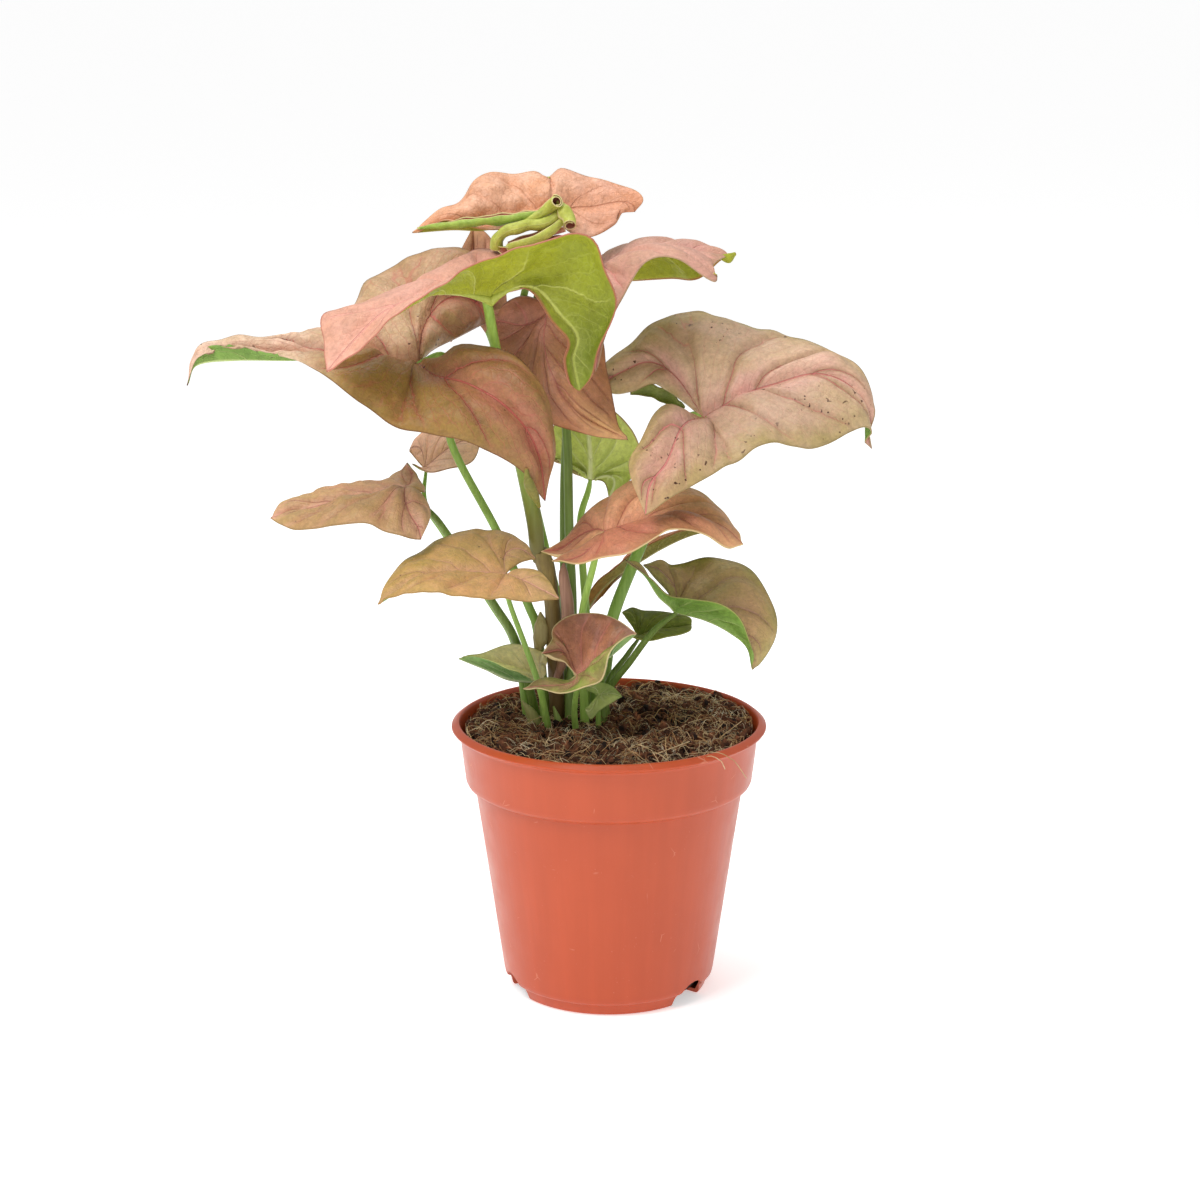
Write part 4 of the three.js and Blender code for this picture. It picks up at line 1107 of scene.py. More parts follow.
def blade(name, leaf, skins, seed, crinkle, groove):
    """A whole blade, and the place under it where the stalk ends. The skins are its finishes
    above and below."""
    waves = random_waves(random.Random(seed), **FOLD_WAVES)
    halves, above = [], np.zeros(3)
    for side, sign in (("left", 1), ("right", -1)):
        place, normal, numbers = half_shape(leaf, leaf[side], sign, waves, crinkle, groove)
        halves.append(bend_grid(f"{name}_{side}", place, numbers))
        if sign > 0:
            halves[-1].data.flip_normals()
        above = above + normal[LOBE_SHARE + 1, 0]
    seat = place[LOBE_SHARE + 1, 0] - STALK_SEAT * above / np.linalg.norm(above)
    pick(*halves)
    bpy.ops.object.join()
    piece = newest(name)
    bpy.ops.object.mode_set(mode="EDIT")
    bpy.ops.mesh.select_all(action="SELECT")
    bpy.ops.mesh.remove_doubles(threshold=0.005 * MM)
    bpy.ops.object.mode_set(mode="OBJECT")
    upper_count = len(piece.data.vertices)
    thicken(piece, skins, LEAF_THICKNESS, -1)
    raise_ribs(piece.data, upper_count)
    return piece, tuple(seat)


print("leaf helpers ready: sheets of", LEAF_THICKNESS, "mm")

# %% [markdown]
# Leaf colours come in layers. The flesh is one colour in each half, drifting to others at the tip
# and at the lobes, with cloudy patches. Pink soaks out from the ribs into the flesh. Over that lie
# the rib line, the side veins, a fine net and a thin margin. All leaves share this reading of their
# points, so it is one node group with named masks; each leaf then mixes its own colours with them.

# %% Small veins and cells
CELL_SCALE = 300.0
LADDER_RUNGS = 4.0
CELL_BEND = (0.005, 0.005, 0.005)


def off_whole(tree, value):
    """How far a count is from the nearest whole number, which is where its vein lies."""
    return calc(tree, "ABSOLUTE", calc(tree, "SUBTRACT", value, calc(tree, "ROUND", value)))


def small_veins(tree, side, wobble, inside, uncrowded):
    """The fine net between the side veins, and a random tone for each of its cells."""
    place = place_of(tree)
    twist = add(tree, "TexNoise", {"Vector": place, "Scale": 150.0, "Detail": 2.0}).outputs["Color"]
    shifted = add(tree, "VectorMath", {0: twist, 1: CELL_BEND}, operation="MULTIPLY").outputs[0]
    bent = add(tree, "VectorMath", {0: place, 1: shifted}, operation="ADD").outputs[0]
    wires = {"Vector": bent, "Scale": CELL_SCALE}
    edges = add(tree, "TexVoronoi", wires, feature="DISTANCE_TO_EDGE").outputs["Distance"]
    rungs = times(tree, calc(tree, "MULTIPLY_ADD", wobble, 1.5, side), LADDER_RUNGS)
    ladder = times(tree, ramp(tree, off_whole(tree, rungs), 0.09, 0.0), times(tree, inside, uncrowded))
    net = times(tree, ramp(tree, edges, 0.07, 0.0), inside)
    tones = add(tree, "TexVoronoi", wires, feature="F1").outputs["Color"]
    return (calc(tree, "MAXIMUM", times(tree, net, 0.7), ladder),
            add(tree, "SeparateXYZ", {0: tones}).outputs[0])


print("a cell of the net is about", round(1 / (CELL_SCALE * MM), 1), "mm wide")

# %% The group that draws veins
def vein_group():
    group = bpy.data.node_groups.new("leaf_veins", "ShaderNodeTree")
    widths = {"Rib Width": 0.6, "Side Width": 0.3, "Halo Width": 6.0, "Margin Width": 0.5}
    for name, value in widths.items():
        socket = group.interface.new_socket(name, in_out="INPUT", socket_type="NodeSocketFloat")
        socket.default_value = value
    asked = group.nodes.new("NodeGroupInput").outputs
    rib_gap = calc(group, "ABSOLUTE", measure(group, "rib_gap"))
    edge_gap, along = measure(group, "edge_gap"), measure(group, "along")
    wobble = calc(group, "MULTIPLY_ADD", speckle(group, 160.0, 2.0), 0.1, -0.05)
    side = plus(group, measure(group, "side_vein"), wobble)
    vein_gap = times(group, off_whole(group, side), measure(group, "vein_pitch"))
    inside, uncrowded = ramp(group, edge_gap, 0.5, 5.0), ramp(group, along, 0.95, 0.7)

    rib_width = times(group, asked["Rib Width"], ramp(group, along, 0.5, 1.0, 1.0, 0.45))
    rib = ramp(group, rib_gap, rib_width, times(group, rib_width, 0.25))
    fade = ramp(group, rib_gap, 0.0, 30.0, 1.0, 0.35)
    side_width = times(group, asked["Side Width"], plus(group, fade, 0.3))
    side_line = ramp(group, vein_gap, side_width, times(group, side_width, 0.15))
    side_line = times(group, times(group, times(group, side_line, inside), fade), uncrowded)
    net, cells = small_veins(group, side, wobble, inside, uncrowded)

    near_rib = ramp(group, rib_gap, asked["Halo Width"], 0.0)
    near_side = times(group, ramp(group, vein_gap, 3.5, 0.0), fade)
    patchy = ramp(group, speckle(group, 90.0, 3.0), 0.3, 0.7, 0.35, 1.0)
    soaked = calc(group, "MAXIMUM", near_rib, times(group, near_side, 0.6))
    short_of_tip = times(group, patchy, ramp(group, along, 0.95, 0.5))
    raised = plus(group, plus(group, times(group, net, 0.3), times(group, side_line, 0.7)), rib)
    masks = {
        "Rib": rib, "Side Veins": side_line, "Net": net, "Cells": cells, "Relief": raised,
        "Halo": times(group, soaked, patchy),
        "Margin": ramp(group, edge_gap, asked["Margin Width"], 0.15),
        "Lobe": ramp(group, along, 0.05, -0.75),
        # The fold shade mask is painted shade in the hollows beside the side veins.
        "Right Half": measure(group, "right_half"),
        "Fold Shade": times(group, near_side, inside),
        "Edge": times(group, ramp(group, edge_gap, 11.0, 0.5), short_of_tip),
    }
    for name in masks:
        group.interface.new_socket(name, in_out="OUTPUT", socket_type="NodeSocketFloat")
    given = group.nodes.new("NodeGroupOutput").inputs
    for name, mask in masks.items():
        plug(group, given[name], mask)
    return group


LEAF_VEINS = vein_group()
print("vein group with", len(LEAF_VEINS.nodes), "nodes")

# %% [markdown]
# `skin` mixes one leaf's colours. Its six colours are the left and the right half, the tip, the
# lobes, the veins and the margin. The numbers after them say how strongly each layer shows, and the
# widths are in millimetres. The fold layer is painted shade: a darker colour in the hollows beside
# the side veins, where shade falls. `edge` lets another colour creep in from the margin, and
# `wrinkle` is how rough the skin feels.

# %% The skin of a leaf
BROWN_SPECK = "4a2a18"


def skin(name, left, right, tip, lobe, vein, margin, halo=0.5, side=0.6, net=0.16, patch=0.5,
         patch_colour=None, halo_colour=None, specks=0.0, gloss=0.42, rib_width=0.5, side_width=0.42,
         halo_width=6.0, margin_width=0.5, lobe_right=None, lobe_side=1.0, tip_from=0.5, tip_to=1.0,
         shine=0.35, fold_shade=0.0, fold_shade_colour="86693c", edge=0.0, edge_colour="a08a50", wrinkle=1.0,
         under=False):
    """A leaf skin. Colours are written as in paint(). An underside is seen from its back, so its
    relief is turned over."""
    made, tree, shader = material(name, {"Specular IOR Level": shine})
    masks = add(tree, "Group", node_tree=LEAF_VEINS)
    for key, value in (("Rib Width", rib_width), ("Side Width", side_width), ("Halo Width", halo_width),
                       ("Margin Width", margin_width)):
        masks.inputs[key].default_value = value
    masks = masks.outputs
    body = tint(tree, masks["Right Half"], paint(left), paint(right))
    lobes = tint(tree, masks["Right Half"], paint(lobe), paint(lobe_right or lobe))
    body = tint(tree, masks["Lobe"], body, lobes)
    body = tint(tree, ramp(tree, measure(tree, "along"), tip_from, tip_to), body, paint(tip))
    broad = ramp(tree, speckle(tree, 32.0, 3.0), 0.4, 0.62)
    small = ramp(tree, speckle(tree, 140.0, 5.0, 0.65), 0.4, 0.66)
    cloud = calc(tree, "MULTIPLY_ADD", small, 0.45, times(tree, broad, 0.55))
    body = layer(tree, body, cloud, patch, patch_colour or margin)
    body = layer(tree, body, masks["Halo"], halo, halo_colour or vein)
    if edge:
        body = layer(tree, body, masks["Edge"], edge, edge_colour)
    # Painted shade: a darker colour laid in the hollows beside the side veins.
    if fold_shade:
        body = layer(tree, body, masks["Fold Shade"], fold_shade, fold_shade_colour)
    fine = speckle(tree, 650.0, 4.0, 0.7)
    rough = times(tree, fine, 0.8)
    shade = plus(tree, plus(tree, rough, times(tree, masks["Cells"], 0.12)), 0.54)
    grey = add(tree, "CombineXYZ", {0: shade, 1: shade, 2: shade}).outputs[0]
    body = tint(tree, 1.0, body, grey, blend="MULTIPLY")
    body = layer(tree, body, masks["Net"], net, vein)
    for mask, strength in ((masks["Side Veins"], side), (masks["Rib"], 0.85)):
        shown = calc(tree, "MULTIPLY_ADD", masks["Lobe"], strength * (lobe_side - 1), strength)
        body = layer(tree, body, mask, shown, vein)
    body = layer(tree, body, masks["Margin"], 0.7, margin)
    if specks:
        dot = ramp(tree, speckle(tree, 480.0, 1.5), 0.76 - 0.15 * specks, 0.79 - 0.15 * specks)
        body = layer(tree, body, dot, ramp(tree, speckle(tree, 40.0, 1.0), 0.42, 0.56), BROWN_SPECK)
    plug(tree, shader.inputs["Base Color"], body)
    dull = ramp(tree, speckle(tree, 200.0), 0.2, 0.8, gloss - 0.06, gloss + 0.1)
    plug(tree, shader.inputs["Roughness"], dull)
    height = plus(tree, masks["Relief"], rough)
    height = calc(tree, "MULTIPLY_ADD", speckle(tree, 170.0, 3.0, 0.6), wrinkle, height)
    dent(tree, shader, 0.8, 0.0004, height, invert=not under)
    return made


print("specks on old leaves are painted", BROWN_SPECK)

# %% [markdown]
# Undersides are greener and calmer than upper sides, and their veins are pale. The lime one shows on
# the large leaves at the top; a brown one lies under the leaf at the right edge.

# %% The undersides
EVERY_UNDERSIDE = dict(halo=0.16, side=0.4, net=0.1, patch=0.4, rib_width=0.6, side_width=0.36,
                       halo_width=4.0, shine=0.2, under=True)
UNDERSIDES = {
    "lime": (("a3a62c", "9aa02a", "a2a636", "626c1e", "cccf72", "b0604c"),
             dict(side=0.75, net=0.14, patch_colour="8a962a", rib_width=0.9, lobe_side=0.25,
                  side_width=0.4, margin_width=0.9)),
    "green": (("7a9c46", "769640", "84a24a", "6e903c", "b8c87c", "b9a662"),
              dict(side=0.55, net=0.12, patch_colour="557a34")),
    "grey_green": (("7fa45c", "749c56", "93ac64", "7f9b5f", "c2cc9c", "8f9c62"),
                   dict(halo=0.15, side=0.5, patch_colour="64884c")),
    # The pale lime is partly painted light: the back leaf's own light lime, made lighter still to lift the
    # shade it lies in.
    "pale_lime": (("d6de78", "cfd870", "d6da78", "b8c45c", "e6e8a8", "b98a60"),
                  dict(patch_colour="a9b650")),
    "olive_brown": (("a08a48", "948a44", "98904a", "c07c48", "b8ac6c", "a8763e"),
                    dict(patch_colour="6f6c2e")),
}
UNDERS = {name: skin(f"underside_{name}", *colours, **{**EVERY_UNDERSIDE, **layers})
          for name, (colours, layers) in UNDERSIDES.items()}
print("undersides:", ", ".join(UNDERS))

# %% [markdown]
# Each leaf of this plant has aged differently. The youngest, at the top, is salmon; the large ones
# are pink round their ribs and fade to tan and olive; the oldest, low down, are olive and green. Some
# leaves' colours are also made lighter or darker as painted light and painted shade, where noted
# below. The table gives the upper skin's colours in the order that `skin` takes them, then what
# differs. The smaller tables say which underside a leaf has, how deep its veins lie and how crinkled
# it is.

# %% Colours of every leaf
SKINS = {
    "top": (("e2b48c", "e0ae90", "e6b490", "dba48c", "bc7454", "cc9868"),
            dict(halo=0.55, halo_colour="c87c50", halo_width=10.0, side=0.2, patch=0.7,
                 patch_colour="c07c48", net=0.15, gloss=0.4, rib_width=0.4, side_width=0.3,
                 wrinkle=5.0, fold_shade=0.1, fold_shade_colour="c8846a")),
    "high_left": (("d29c86", "cf9a86", "dca48e", "c68874", "dc978a", "b0604e"),
                  dict(halo=0.5, halo_colour="e0a08c", patch=0.5, patch_colour="c08a68", gloss=0.45,
                       margin_width=0.7)),
    # The right lobe's dark brown is painted shade, for the shadow that lies on it.
    "high_right": (("c49484", "c89484", "be9274", "c99888", "d88f86", "a9906a"),
                   dict(halo=0.5, halo_colour="d89c92", patch=0.45, patch_colour="ad8c66", gloss=0.45,
                        lobe_right="a06858")),
    # The far lobe is painted lighter to lift the shade it turns into, and the near lobe darker to tone down
    # the lamp on it: painted light and painted shade over their tan.
    "right": (("ceaa8e", "c09e84", "ccb48c", "ceac80", "cc7672", "96804e"),
              dict(halo=0.8, halo_colour="daa298", patch=0.45, patch_colour="ad9662", specks=0.55,
                   side=0.85, halo_width=15.0, lobe_right="ae8664", rib_width=0.6, side_width=0.4,
                   fold_shade=0.55, edge=0.75, edge_colour="a49450")),
    # The pale tip colour, which starts early, is partly painted light: the tip's own pale tan, lightened
    # further to lift its steep face and the shadow of the lime leaf above.
    "left": (("977038", "d2aa8a", "fcdcc4", "905f46", "b4584e", "704828"),
             dict(halo=0.65, halo_colour="b87060", patch=0.5, patch_colour="8a7834", specks=0.15, side=0.75,
                  net=0.3, gloss=0.4, shine=0.28, rib_width=0.6, halo_width=12.0, wrinkle=2.2, fold_shade=0.45,
                  fold_shade_colour="7a4c34", edge=0.4, edge_colour="907434", tip_from=0.2, tip_to=0.7)),
    "high_back": (("c48c72", "bf866c", "c4966e", "b97f68", "c9837a", "9c7348"), dict(halo=0.3, side=0.6)),
    "front_middle": (("a87450", "a87058", "d0a468", "ac705a", "c4746a", "70452c"),
                     dict(halo=0.6, halo_colour="c08472", wrinkle=1.6, patch=0.5, patch_colour="9a6c38",
                          side=0.5, net=0.2, gloss=0.38, fold_shade=0.15, fold_shade_colour="6e4230", edge=0.5,
                          edge_colour="b0703c")),
    "back_right": (("b08a5f", "b08a5f", "a39a52", "a8905a", "d0a088", "8f8448"), dict(halo=0.4)),
    # These near-white pinks are partly painted light: the leaf's own pink, lightened to lift the shade of
    # the leaves above it.
    "back_left": (("fcc2a2", "fcc8aa", "f0bc94", "f8bc9c", "c98a7a", "9a7550"),
                  dict(halo=0.3, halo_colour="e8a488", side=0.2, net=0.1, patch=0.2)),
    "low_left": (("b88a62", "c8986e", "bc9a68", "c69a78", "c67a70", "937646"),
                 dict(halo=0.8, halo_colour="dc9e90", patch=0.5, patch_colour="ac9056", specks=0.12,
                      side=0.45, fold_shade=0.25, fold_shade_colour="a8765c", edge=0.35, edge_colour="b0925c")),
    "front_left": (("d8a06c", "d29e66", "c69c58", "d0a074", "e0a48e", "98763c"),
                   dict(halo=0.5, halo_colour="e2ae94", patch=0.65, patch_colour="b0964e", specks=0.1,
                        side=0.3, fold_shade=0.08, fold_shade_colour="b8845c", edge=0.45, edge_colour="ac9450")),
    # The far half's colour is partly painted light: its own salmon, lightened to lift the shadow of the
    # right leaf's lobe.
    "front_right": (("f0ac84", "c4785e", "e2b480", "cc8068", "c4665c", "d9c48c"),
                    dict(halo=0.4, halo_colour="cc7868", patch=0.45, patch_colour="bc7e58", net=0.2,
                         side=0.45, rib_width=0.6, lobe_right="c47c66", fold_shade=0.2, fold_shade_colour="b07058",
                         margin_width=0.7, edge=0.35, edge_colour="a8884c")),
    "edge_right": (("b48c50", "d2804e", "b8845a", "c47c4c", "c86a56", "96603c"),
                   dict(halo=0.3, patch=0.4, patch_colour="a07440")),
    "low_right": (("c0986c", "b88e68", "aa9c58", "ba8c68", "b8847c", "7c7440"),
                  dict(halo=0.5, halo_colour="c0907c", patch=0.5, patch_colour="968a4c", specks=0.1,
                       side=0.45, fold_shade=0.3, fold_shade_colour="86703c", edge=0.6, edge_colour="90943c")),
    "low_back": (("7c8434", "868c3a", "7c8232", "747c30", "a8ac60", "9c9c50"),
                 dict(halo=0.15, patch=0.6, patch_colour="56682a", gloss=0.5, shine=0.15)),
    "small_front": (("b87654", "8e9c42", "a08458", "8e8c42", "d08074", "ddc694"),
                    dict(halo=0.5, halo_colour="d08c7c", side=0.5, patch=0.75, patch_colour="60382a",
                         rib_width=0.6, margin_width=0.6, halo_width=5.0, lobe_right="889640")),
    # These pale colours are partly painted light: the leaf's own pale green, lightened to lift the shade of
    # the leaves above it.
    "small_left": (("f0ea9c", "f4e4ac", "e4e48c", "f0e09c", "f0e8bc", "b8bc70"),
                   dict(halo=0.3, patch=0.4, patch_colour="ccb470", gloss=0.45)),
    "base_right": (("9cab58", "a4ae5c", "9aaa56", "a5ae66", "ccd090", "8a9a50"), dict(halo=0.2)),
}
UNDERSIDE_OF = {"edge_right": "olive_brown", "high_left": "lime", "high_right": "lime", "top": "lime",
                "back_right": "pale_lime", "small_left": "grey_green", "small_front": "grey_green",
                "base_right": "grey_green"}
GROOVES = {"front_middle": 0.7, "right": 1.2, "top": 0.7, "front_left": 0.8, "back_left": 0.5,
           "low_left": 0.9, "left": 1.3}
CRINKLES = {"edge_right": 0.1, "top": 2.3, "high_left": 0.3, "front_middle": 0.6, "small_front": 0.8,
            "low_left": 0.9, "front_right": 0.6, "right": 0.5, "left": 1.2, "front_left": 0.6,
            "low_right": 0.6}
print("leaves with a skin of their own:", len(SKINS))

# %% Make every blade
USUAL_GROOVE = 1.1
USUAL_CRINKLE = 0.4

seats, face_count = {}, 0
for seed, (name, leaf) in enumerate(LEAVES.items()):
    colours, layers = SKINS[name]
    skins = (skin(f"skin_{name}", *colours, **layers), UNDERS[UNDERSIDE_OF.get(name, "green")])
    piece, seats[name] = blade(f"{name}_leaf", leaf, skins, seed, CRINKLES.get(name, USUAL_CRINKLE),
                               GROOVES.get(name, USUAL_GROOVE))
    mount(piece, f"leaf_{name}_blade")
    face_count += len(piece.data.polygons)
print("blades:", len(seats), "faces in all:", face_count)

# %% [markdown]
# ## Stalks and stems
# A stalk is round, a little thicker at its base, and slender below the blade. A curve with a round
# bevel is the quickest way to draw one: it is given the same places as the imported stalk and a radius
# at each, then turned into a mesh.

# %% Draw a rod
STEPS_EACH = 8
ROD_ROUNDNESS = 6


def rod(name, route, radii):
    """A round rod along a smooth route, with its radii spread evenly over the length."""
    shares = np.linspace(0, 1, STEPS_EACH * (len(route) - 1) + 1)
    places = smooth(route, shares)
    thick = np.interp(shares, np.linspace(0, 1, len(radii)), radii)
    bpy.ops.object.select_all(action="DESELECT")
    bpy.ops.curve.primitive_nurbs_path_add()
    piece = newest(name)
    spline = piece.data.splines[0]
    spline.type = "POLY"
    spline.points.add(len(places) - len(spline.points))
    for point, place, radius in zip(spline.points, places, thick):
        point.co = (*(place * MM), 1)
        point.radius = radius * MM
    piece.data.bevel_depth = 1.0
    piece.data.bevel_resolution = ROD_ROUNDNESS
    piece.data.use_fill_caps = True
    pick(piece)
    bpy.ops.object.convert(target="MESH")
    bpy.ops.object.shade_smooth_by_angle(angle=math.radians(50))
    return bpy.context.object


print("a rod has", STEPS_EACH, "rings to each stretch of its route")

# %% [markdown]
# Fresh stalks show lengthwise threads of two greens. Stalks stand nearly upright, so the noise is
# simply stretched along Z. Near the soil some have a warm blush, from one height down to another.

# %% Finishes of stalks and stems
def stalk_finish(name, pale, deep, warm=None, warm_from=0.185, warm_to=0.115):
    made, tree, shader = material(name, {"Roughness": 0.42, "Specular IOR Level": 0.3})
    threads = add(tree, "Mapping", {"Vector": place_of(tree), "Scale": (1100, 1100, 14)}).outputs[0]
    threads = add(tree, "TexNoise", {"Vector": threads, "Scale": 1.0, "Detail": 3.0}).outputs["Fac"]
    body = tint(tree, ramp(tree, threads, 0.1, 0.9), paint(deep), paint(pale))
    body = layer(tree, body, ramp(tree, speckle(tree, 70.0), 0.45, 0.7), 0.35, deep)
    if warm:
        height = add(tree, "SeparateXYZ", {0: place_of(tree)}).outputs[2]
        body = tint(tree, ramp(tree, height, warm_from, warm_to), body, paint(warm))
    plug(tree, shader.inputs["Base Color"], body)
    dent(tree, shader, 0.2, 0.0001, threads)
    return made


STALK_SKINS = {
    "fresh": stalk_finish("stalk_fresh", "9cbb5c", "7c9c42"),
    "pale": stalk_finish("stalk_pale", "b4d06c", "93b64c"),
    "rib": stalk_finish("rib_skin", "bcc25c", "a3ac42"),
    "dark": stalk_finish("stalk_dark", "82984a", "5e722c"),
    "olive": stalk_finish("stalk_olive", "a8c658", "86a640", "6e5c34", 0.225, 0.16),
}
print("stalk finishes:", ", ".join(STALK_SKINS))

# %% Draw every stalk
STALK_TONES = {"high_right": "dark", "high_left": "olive", "low_left": "dark", "back_right": "pale",
               "front_right": "pale", "front_middle": "dark", "low_right": "dark", "low_back": "dark"}

for name, leaf in LEAVES.items():
    piece = rod(f"{name}_stalk", leaf["stalk"][:-1] + (seats[name],), leaf["stalk_radii"])
    piece.data.materials.append(STALK_SKINS[STALK_TONES.get(name, "fresh")])
    mount(piece, f"leaf_{name}_stalk")
print("stalks:", len(LEAVES))

# %% [markdown]
# Under the big lime leaf the three ribs leave the stalk like the arms of a T, as thick as the stalk
# itself at first. Two more tapering rods stand for the arms that can be seen from the front.

# %% Thick ribs where the lime leaf joins its stalk
RIB_CORDS = {
    "high_left_rib_cord": dict(
        route=((-42, -17.6, 268), (-46, -19.2, 269.6), (-51, -21, 271), (-56, -22.8, 272)),
        radii=(1.9, 1.4, 0.9, 0.2)),
    "high_left_lobe_cord": dict(
        route=((-43, -17.6, 268), (-40, -18.8, 270.3), (-36, -19.8, 272.6), (-32, -20.8, 273.2)),
        radii=(1.9, 1.3, 0.8, 0.2)),
}
for name, cord in RIB_CORDS.items():
    piece = rod(name, **cord)
    piece.data.materials.append(STALK_SKINS["rib"])
    mount_extra(piece)
print("thick ribs:", len(RIB_CORDS))

# %% [markdown]
# The two lobes of the youngest leaf are still furled round each other in front of its stalk. Each
# roll is a scroll: a spiral line, pushed along a short route while it opens and closes. The lime
# underside is outside and the pink upper side inside, as on any leaf of this plant. The same shape
# serves for the lobe edges of two other leaves that are folded back, and for one curled tip.

# %% How a scroll is rolled
INSIDE_REACH = 0.62
SCROLL_ROWS = 40
SCROLL_COLUMNS = 26
SCROLL_FACE = 0.55
SCROLL_VEIN_STEP = 0.13
SCROLL_THICKNESS = 0.35
SCROLL_AWAY = (0.0, 1.0, 0.15)
FAR_FROM_RIB = {"rib_gap": 30.0, "vein_pitch": 5.0, "along": 0.2, "right_half": 0.0}
WRINKLES = random_waves(random.Random(5), 9, 3.5, 11)


def scroll(name, route, radii, turns, opening, skins, leaf="top"):
    """A rolled-up strip of leaf. opening is the heading, in turns, of its outer edge about the route."""
    shares = np.linspace(0, 1, SCROLL_ROWS + 1)
    places = smooth(route, shares)
    thick = np.interp(shares, np.linspace(0, 1, len(radii)), radii)[:, None, None]
    ahead = np.gradient(places, axis=0)
    ahead /= np.linalg.norm(ahead, axis=1)[:, None]
    side = np.cross(ahead, SCROLL_AWAY)
    side /= np.linalg.norm(side, axis=1)[:, None]
    over = np.cross(side, ahead)
    wound = np.linspace(0, 1, SCROLL_COLUMNS + 1)
    angle = 2 * math.pi * (opening + turns * wound)
    reach = 1 - (1 - INSIDE_REACH) * wound
    aside, upward = ((turned * reach)[None, :, None] for turned in (np.cos(angle), np.sin(angle)))
    ring = aside * side[:, None] + upward * over[:, None]
    spots = places[:, None] + thick * ring
    spots = spots + 0.3 * np.minimum(thick, 1.5) * rumple(spots, WRINKLES)[..., None] * ring

    row, column = np.indices((SCROLL_ROWS + 1, SCROLL_COLUMNS + 1))
    steps_in = np.minimum.reduce([row, SCROLL_ROWS - row, column, SCROLL_COLUMNS - column])
    numbers = {"edge_gap": steps_in * SCROLL_FACE, "side_vein": column * SCROLL_VEIN_STEP}
    for key, value in FAR_FROM_RIB.items():
        numbers[key] = np.full(row.shape, value)
    piece = bend_grid(name, spots, numbers)
    piece.data.flip_normals()
    thicken(piece, skins, SCROLL_THICKNESS, 0)
    mount_extra(piece)


print("a scroll has", SCROLL_ROWS, "rows of", SCROLL_COLUMNS, "faces")

# %% [markdown]
# A curled strip is one colour all over, so its skin takes a single body colour, then those of the
# veins and the margin.

# %% Finishes of the curled strips
def strip_skin(name, body, vein, margin, **layers):
    usual = dict(halo=0.1, side=0.4, patch=0.5)
    return skin(name, body, body, body, body, vein, margin, **{**usual, **layers})


FURL_LIME = strip_skin("furled_lime", "b8be55", "dcdb94", "ead9a4", side=0.5, patch=0.4,
                       patch_colour="9aa844", gloss=0.36, margin_width=0.7, shine=0.25, under=True)
FURL_GREEN = strip_skin("furled_green", "a3b84e", "c3cf7c", "ddc890", patch=0.85, patch_colour="587e24",
                        gloss=0.36, margin_width=0.7, shine=0.25, under=True)
FURL_PINK = strip_skin("furled_pink", "c98470", "b05f4c", "e3cf98", patch_colour="a05f48", gloss=0.4)
# The left fold's olive is darkened and the right fold's green is lightened: painted shade on the left fold
# and painted light on the right one, over the undersides' own olive and green.
LEFT_FOLD_SHADED = strip_skin("left_fold_shaded", "74762e", "a8a860", "a0703c", patch=0.6, patch_colour="8a7038",
                       margin_width=0.9, under=True)
RIGHT_FOLD_LIT = strip_skin("right_fold_lit", "98a054", "c0c88c", "7c6c38", patch_colour="7c8c44",
                        margin_width=0.9, under=True)
print("strip finishes:", FURL_LIME.name, FURL_GREEN.name, FURL_PINK.name, LEFT_FOLD_SHADED.name, RIGHT_FOLD_LIT.name)

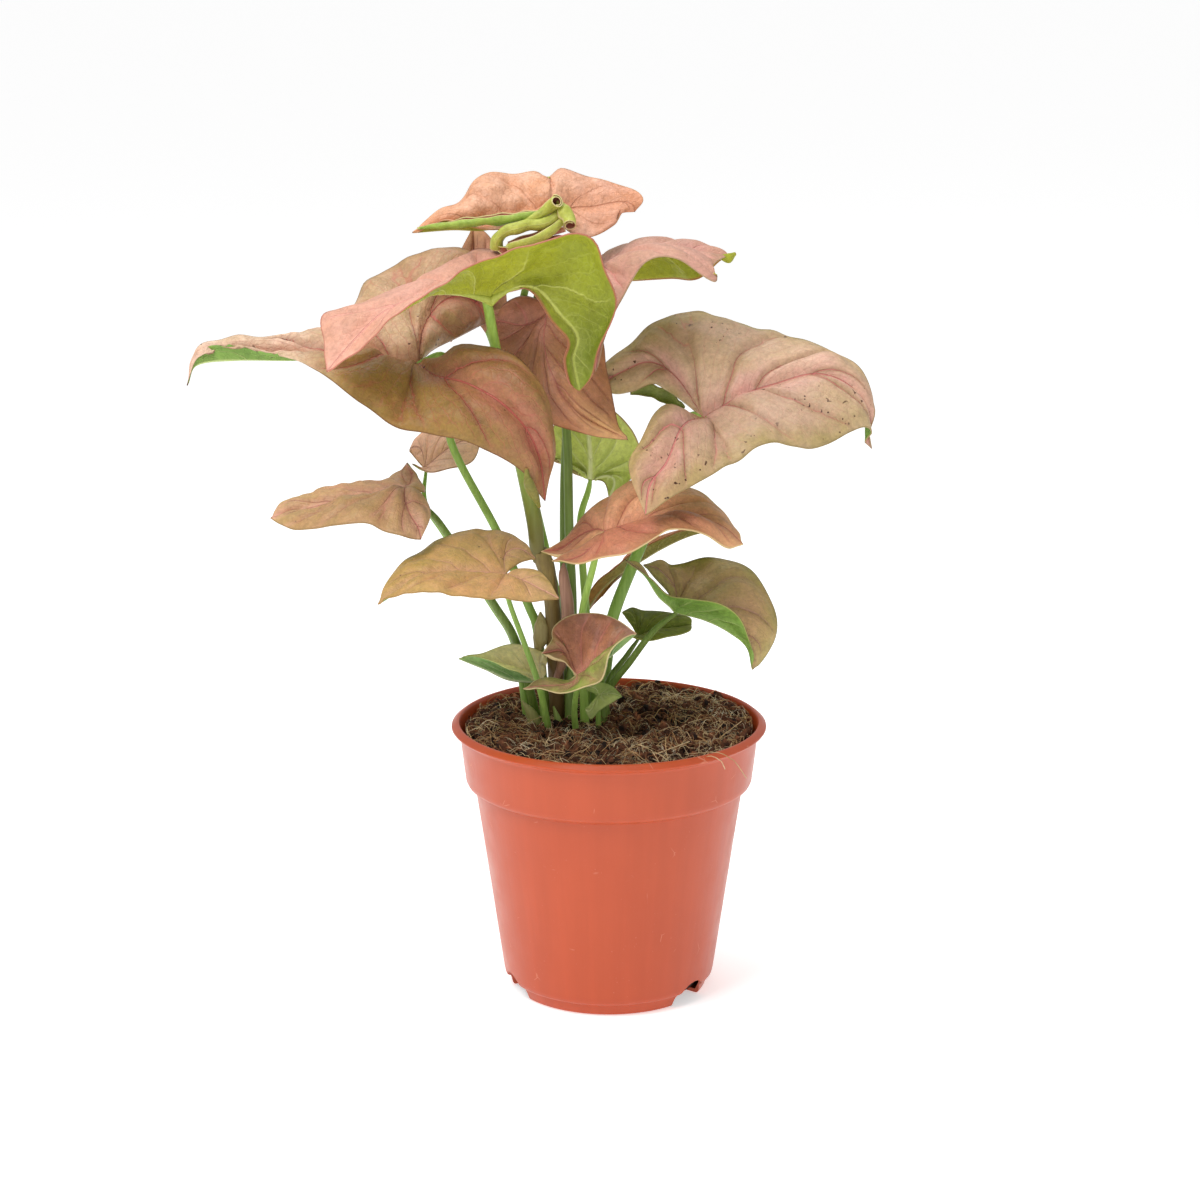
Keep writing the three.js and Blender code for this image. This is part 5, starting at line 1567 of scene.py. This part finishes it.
# %% Roll every scroll
SCROLLS = {
    "rolled_margin": dict(
        route=((-70, -0.5, 292.4), (-60, -2.5, 293.9), (-46, -3.5, 295.4), (-34, -3.5, 296.9),
               (-24, -3, 298.4)),
        radii=(0.5, 1.6, 2.2, 2.3, 1.6), turns=0.8, opening=0.15, skins=(FURL_GREEN, FURL_PINK)),
    "furled_tube_upper": dict(
        route=((-31, -4, 295), (-26, -4, 297.5), (-22.5, -4.5, 300), (-20, -6.5, 302), (-18.8, -9.5, 303)),
        radii=(1.2, 1.9, 2.1, 2.2, 2.4), turns=1.6, opening=0.1, skins=(FURL_LIME, FURL_PINK)),
    "furled_tube_lower": dict(
        route=((-41, -4, 285.5), (-40.5, -5, 289), (-36.5, -6, 292.5), (-30, -6, 294), (-22, -5, 295.5),
               (-17.5, -4, 299)),
        radii=(2.4, 2.6, 2.4, 2.3, 2.1, 1.8), turns=1.4, opening=0.35, skins=(FURL_LIME, FURL_PINK)),
    "furled_flap": dict(
        route=((-18.5, -5, 303), (-16.5, -6, 300), (-14.8, -7.5, 297), (-14.2, -10, 294.5)),
        radii=(0.9, 2.3, 2.9, 2.8), turns=1.3, opening=0.6, skins=(FURL_LIME, FURL_PINK)),
    "furled_ribbon": dict(
        route=((-15.5, -5, 297), (-20, -6, 293), (-25, -7, 290), (-31, -7, 287.5), (-37, -6, 286)),
        radii=(1.0, 1.8, 2.4, 2.6, 1.8), turns=0.5, opening=0.6, skins=(FURL_LIME, FURL_PINK)),
    "furled_heart": dict(
        route=((-37, -5, 287.5), (-31, -5.5, 289.3), (-24, -5, 291), (-16, -4, 292.5)),
        radii=(1.4, 2.0, 2.2, 1.4), turns=0.6, opening=0.2, skins=(FURL_PINK, FURL_PINK)),
    "furled_frill": dict(
        route=((-41, -5.5, 286), (-38.5, -7, 285), (-36, -6.5, 284.6), (-33, -6, 285.6)),
        radii=(0.8, 1.8, 1.9, 0.7), turns=0.7, opening=0.9, skins=(FURL_GREEN, FURL_PINK)),
    "left_lobe_fold": dict(
        route=((-29.5, -43, 212), (-28.3, -43, 207), (-26.5, -42, 202), (-25, -39.5, 197)),
        radii=(0.5, 2.2, 1.9, 0.5), turns=0.5, opening=0.5, skins=(LEFT_FOLD_SHADED, LEFT_FOLD_SHADED), leaf="left"),
    "right_lobe_fold": dict(
        route=((8, 18, 228), (15, 18.5, 228.5), (22, 16, 226.5), (28, 11, 224)),
        radii=(0.4, 3.0, 3.4, 0.5), turns=0.5, opening=0.0, skins=(RIGHT_FOLD_LIT, RIGHT_FOLD_LIT), leaf="right"),
    "high_right_tip_curl": dict(
        route=((38.5, 7, 281.5), (41.5, 8.5, 281), (44, 10.5, 280.8), (46.5, 12.5, 281.6)),
        radii=(0.4, 1.5, 1.8, 0.6), turns=0.5, opening=0.5, skins=(UNDERS["lime"], UNDERS["lime"]),
        leaf="high_right"),
}
for name, setting in SCROLLS.items():
    scroll(name, **setting)
print("scrolls:", len(SCROLLS))

# %% [markdown]
# The older stem at the heart of the plant is brown and ringed where leaves have fallen. A leaf that
# is still rolled up stands beside it like a pencil, and papery sheaths wrap the lowest stalks.

# %% Stem, rolled leaf and sheaths
STEMS = {
    "main_stem": dict(
        route=((-20, 6, 98), (-20, 5, 113), (-21, 3, 143), (-23, 0, 162), (-26, -2, 172)),
        radii=(3.3, 3.0, 2.9, 3.3, 2.9, 3.0, 3.5, 3.0)),
    "rolled_new_leaf": dict(
        route=((-20, 2, 121), (-17, -1, 131), (-15.5, -2, 148), (-17, -3, 162), (-17, -3, 167.5)),
        radii=(1.2, 2.0, 2.5, 2.4, 1.8, 0.3)),
    "stem_bract": dict(route=((-27, 5, 132), (-25.5, 3, 139), (-26, 3, 147)),
                       radii=(1.6, 3.2, 3.0, 0.3)),
    "base_sheath_left": dict(route=((-28, 3, 98), (-29, 1, 106), (-33, -1, 113)),
                             radii=(2.4, 2.8, 1.8, 0.3)),
    "base_sheath_front": dict(route=((-18, -3, 98), (-19, -4, 105), (-21, -5, 112)),
                              radii=(1.8, 2.1, 1.3, 0.3)),
}
STEM_SKINS = {
    "main_stem": stalk_finish("stem_brown", "9c8648", "6e5a30", warm="664e2c"),
    "rolled_new_leaf": stalk_finish("rolled_leaf_skin", "ac8068", "80584a"),
    "stem_bract": stalk_finish("dry_bract", "b4a474", "8e7c4c"),
    "base_sheath_left": stalk_finish("sheath_skin", "a9a76a", "86824c"),
    "base_sheath_front": stalk_finish("sheath_front_skin", "9fae60", "7b8c44"),
}
for name, stem in STEMS.items():
    piece = rod(f"{name}_skin", **stem)
    piece.data.materials.append(STEM_SKINS[name])
    mount(piece, name)
print("stems and sheaths:", len(STEMS))

# %% [markdown]
# The last cell leaves nothing selected.

# %% Clear the selection
bpy.ops.object.select_all(action="DESELECT")
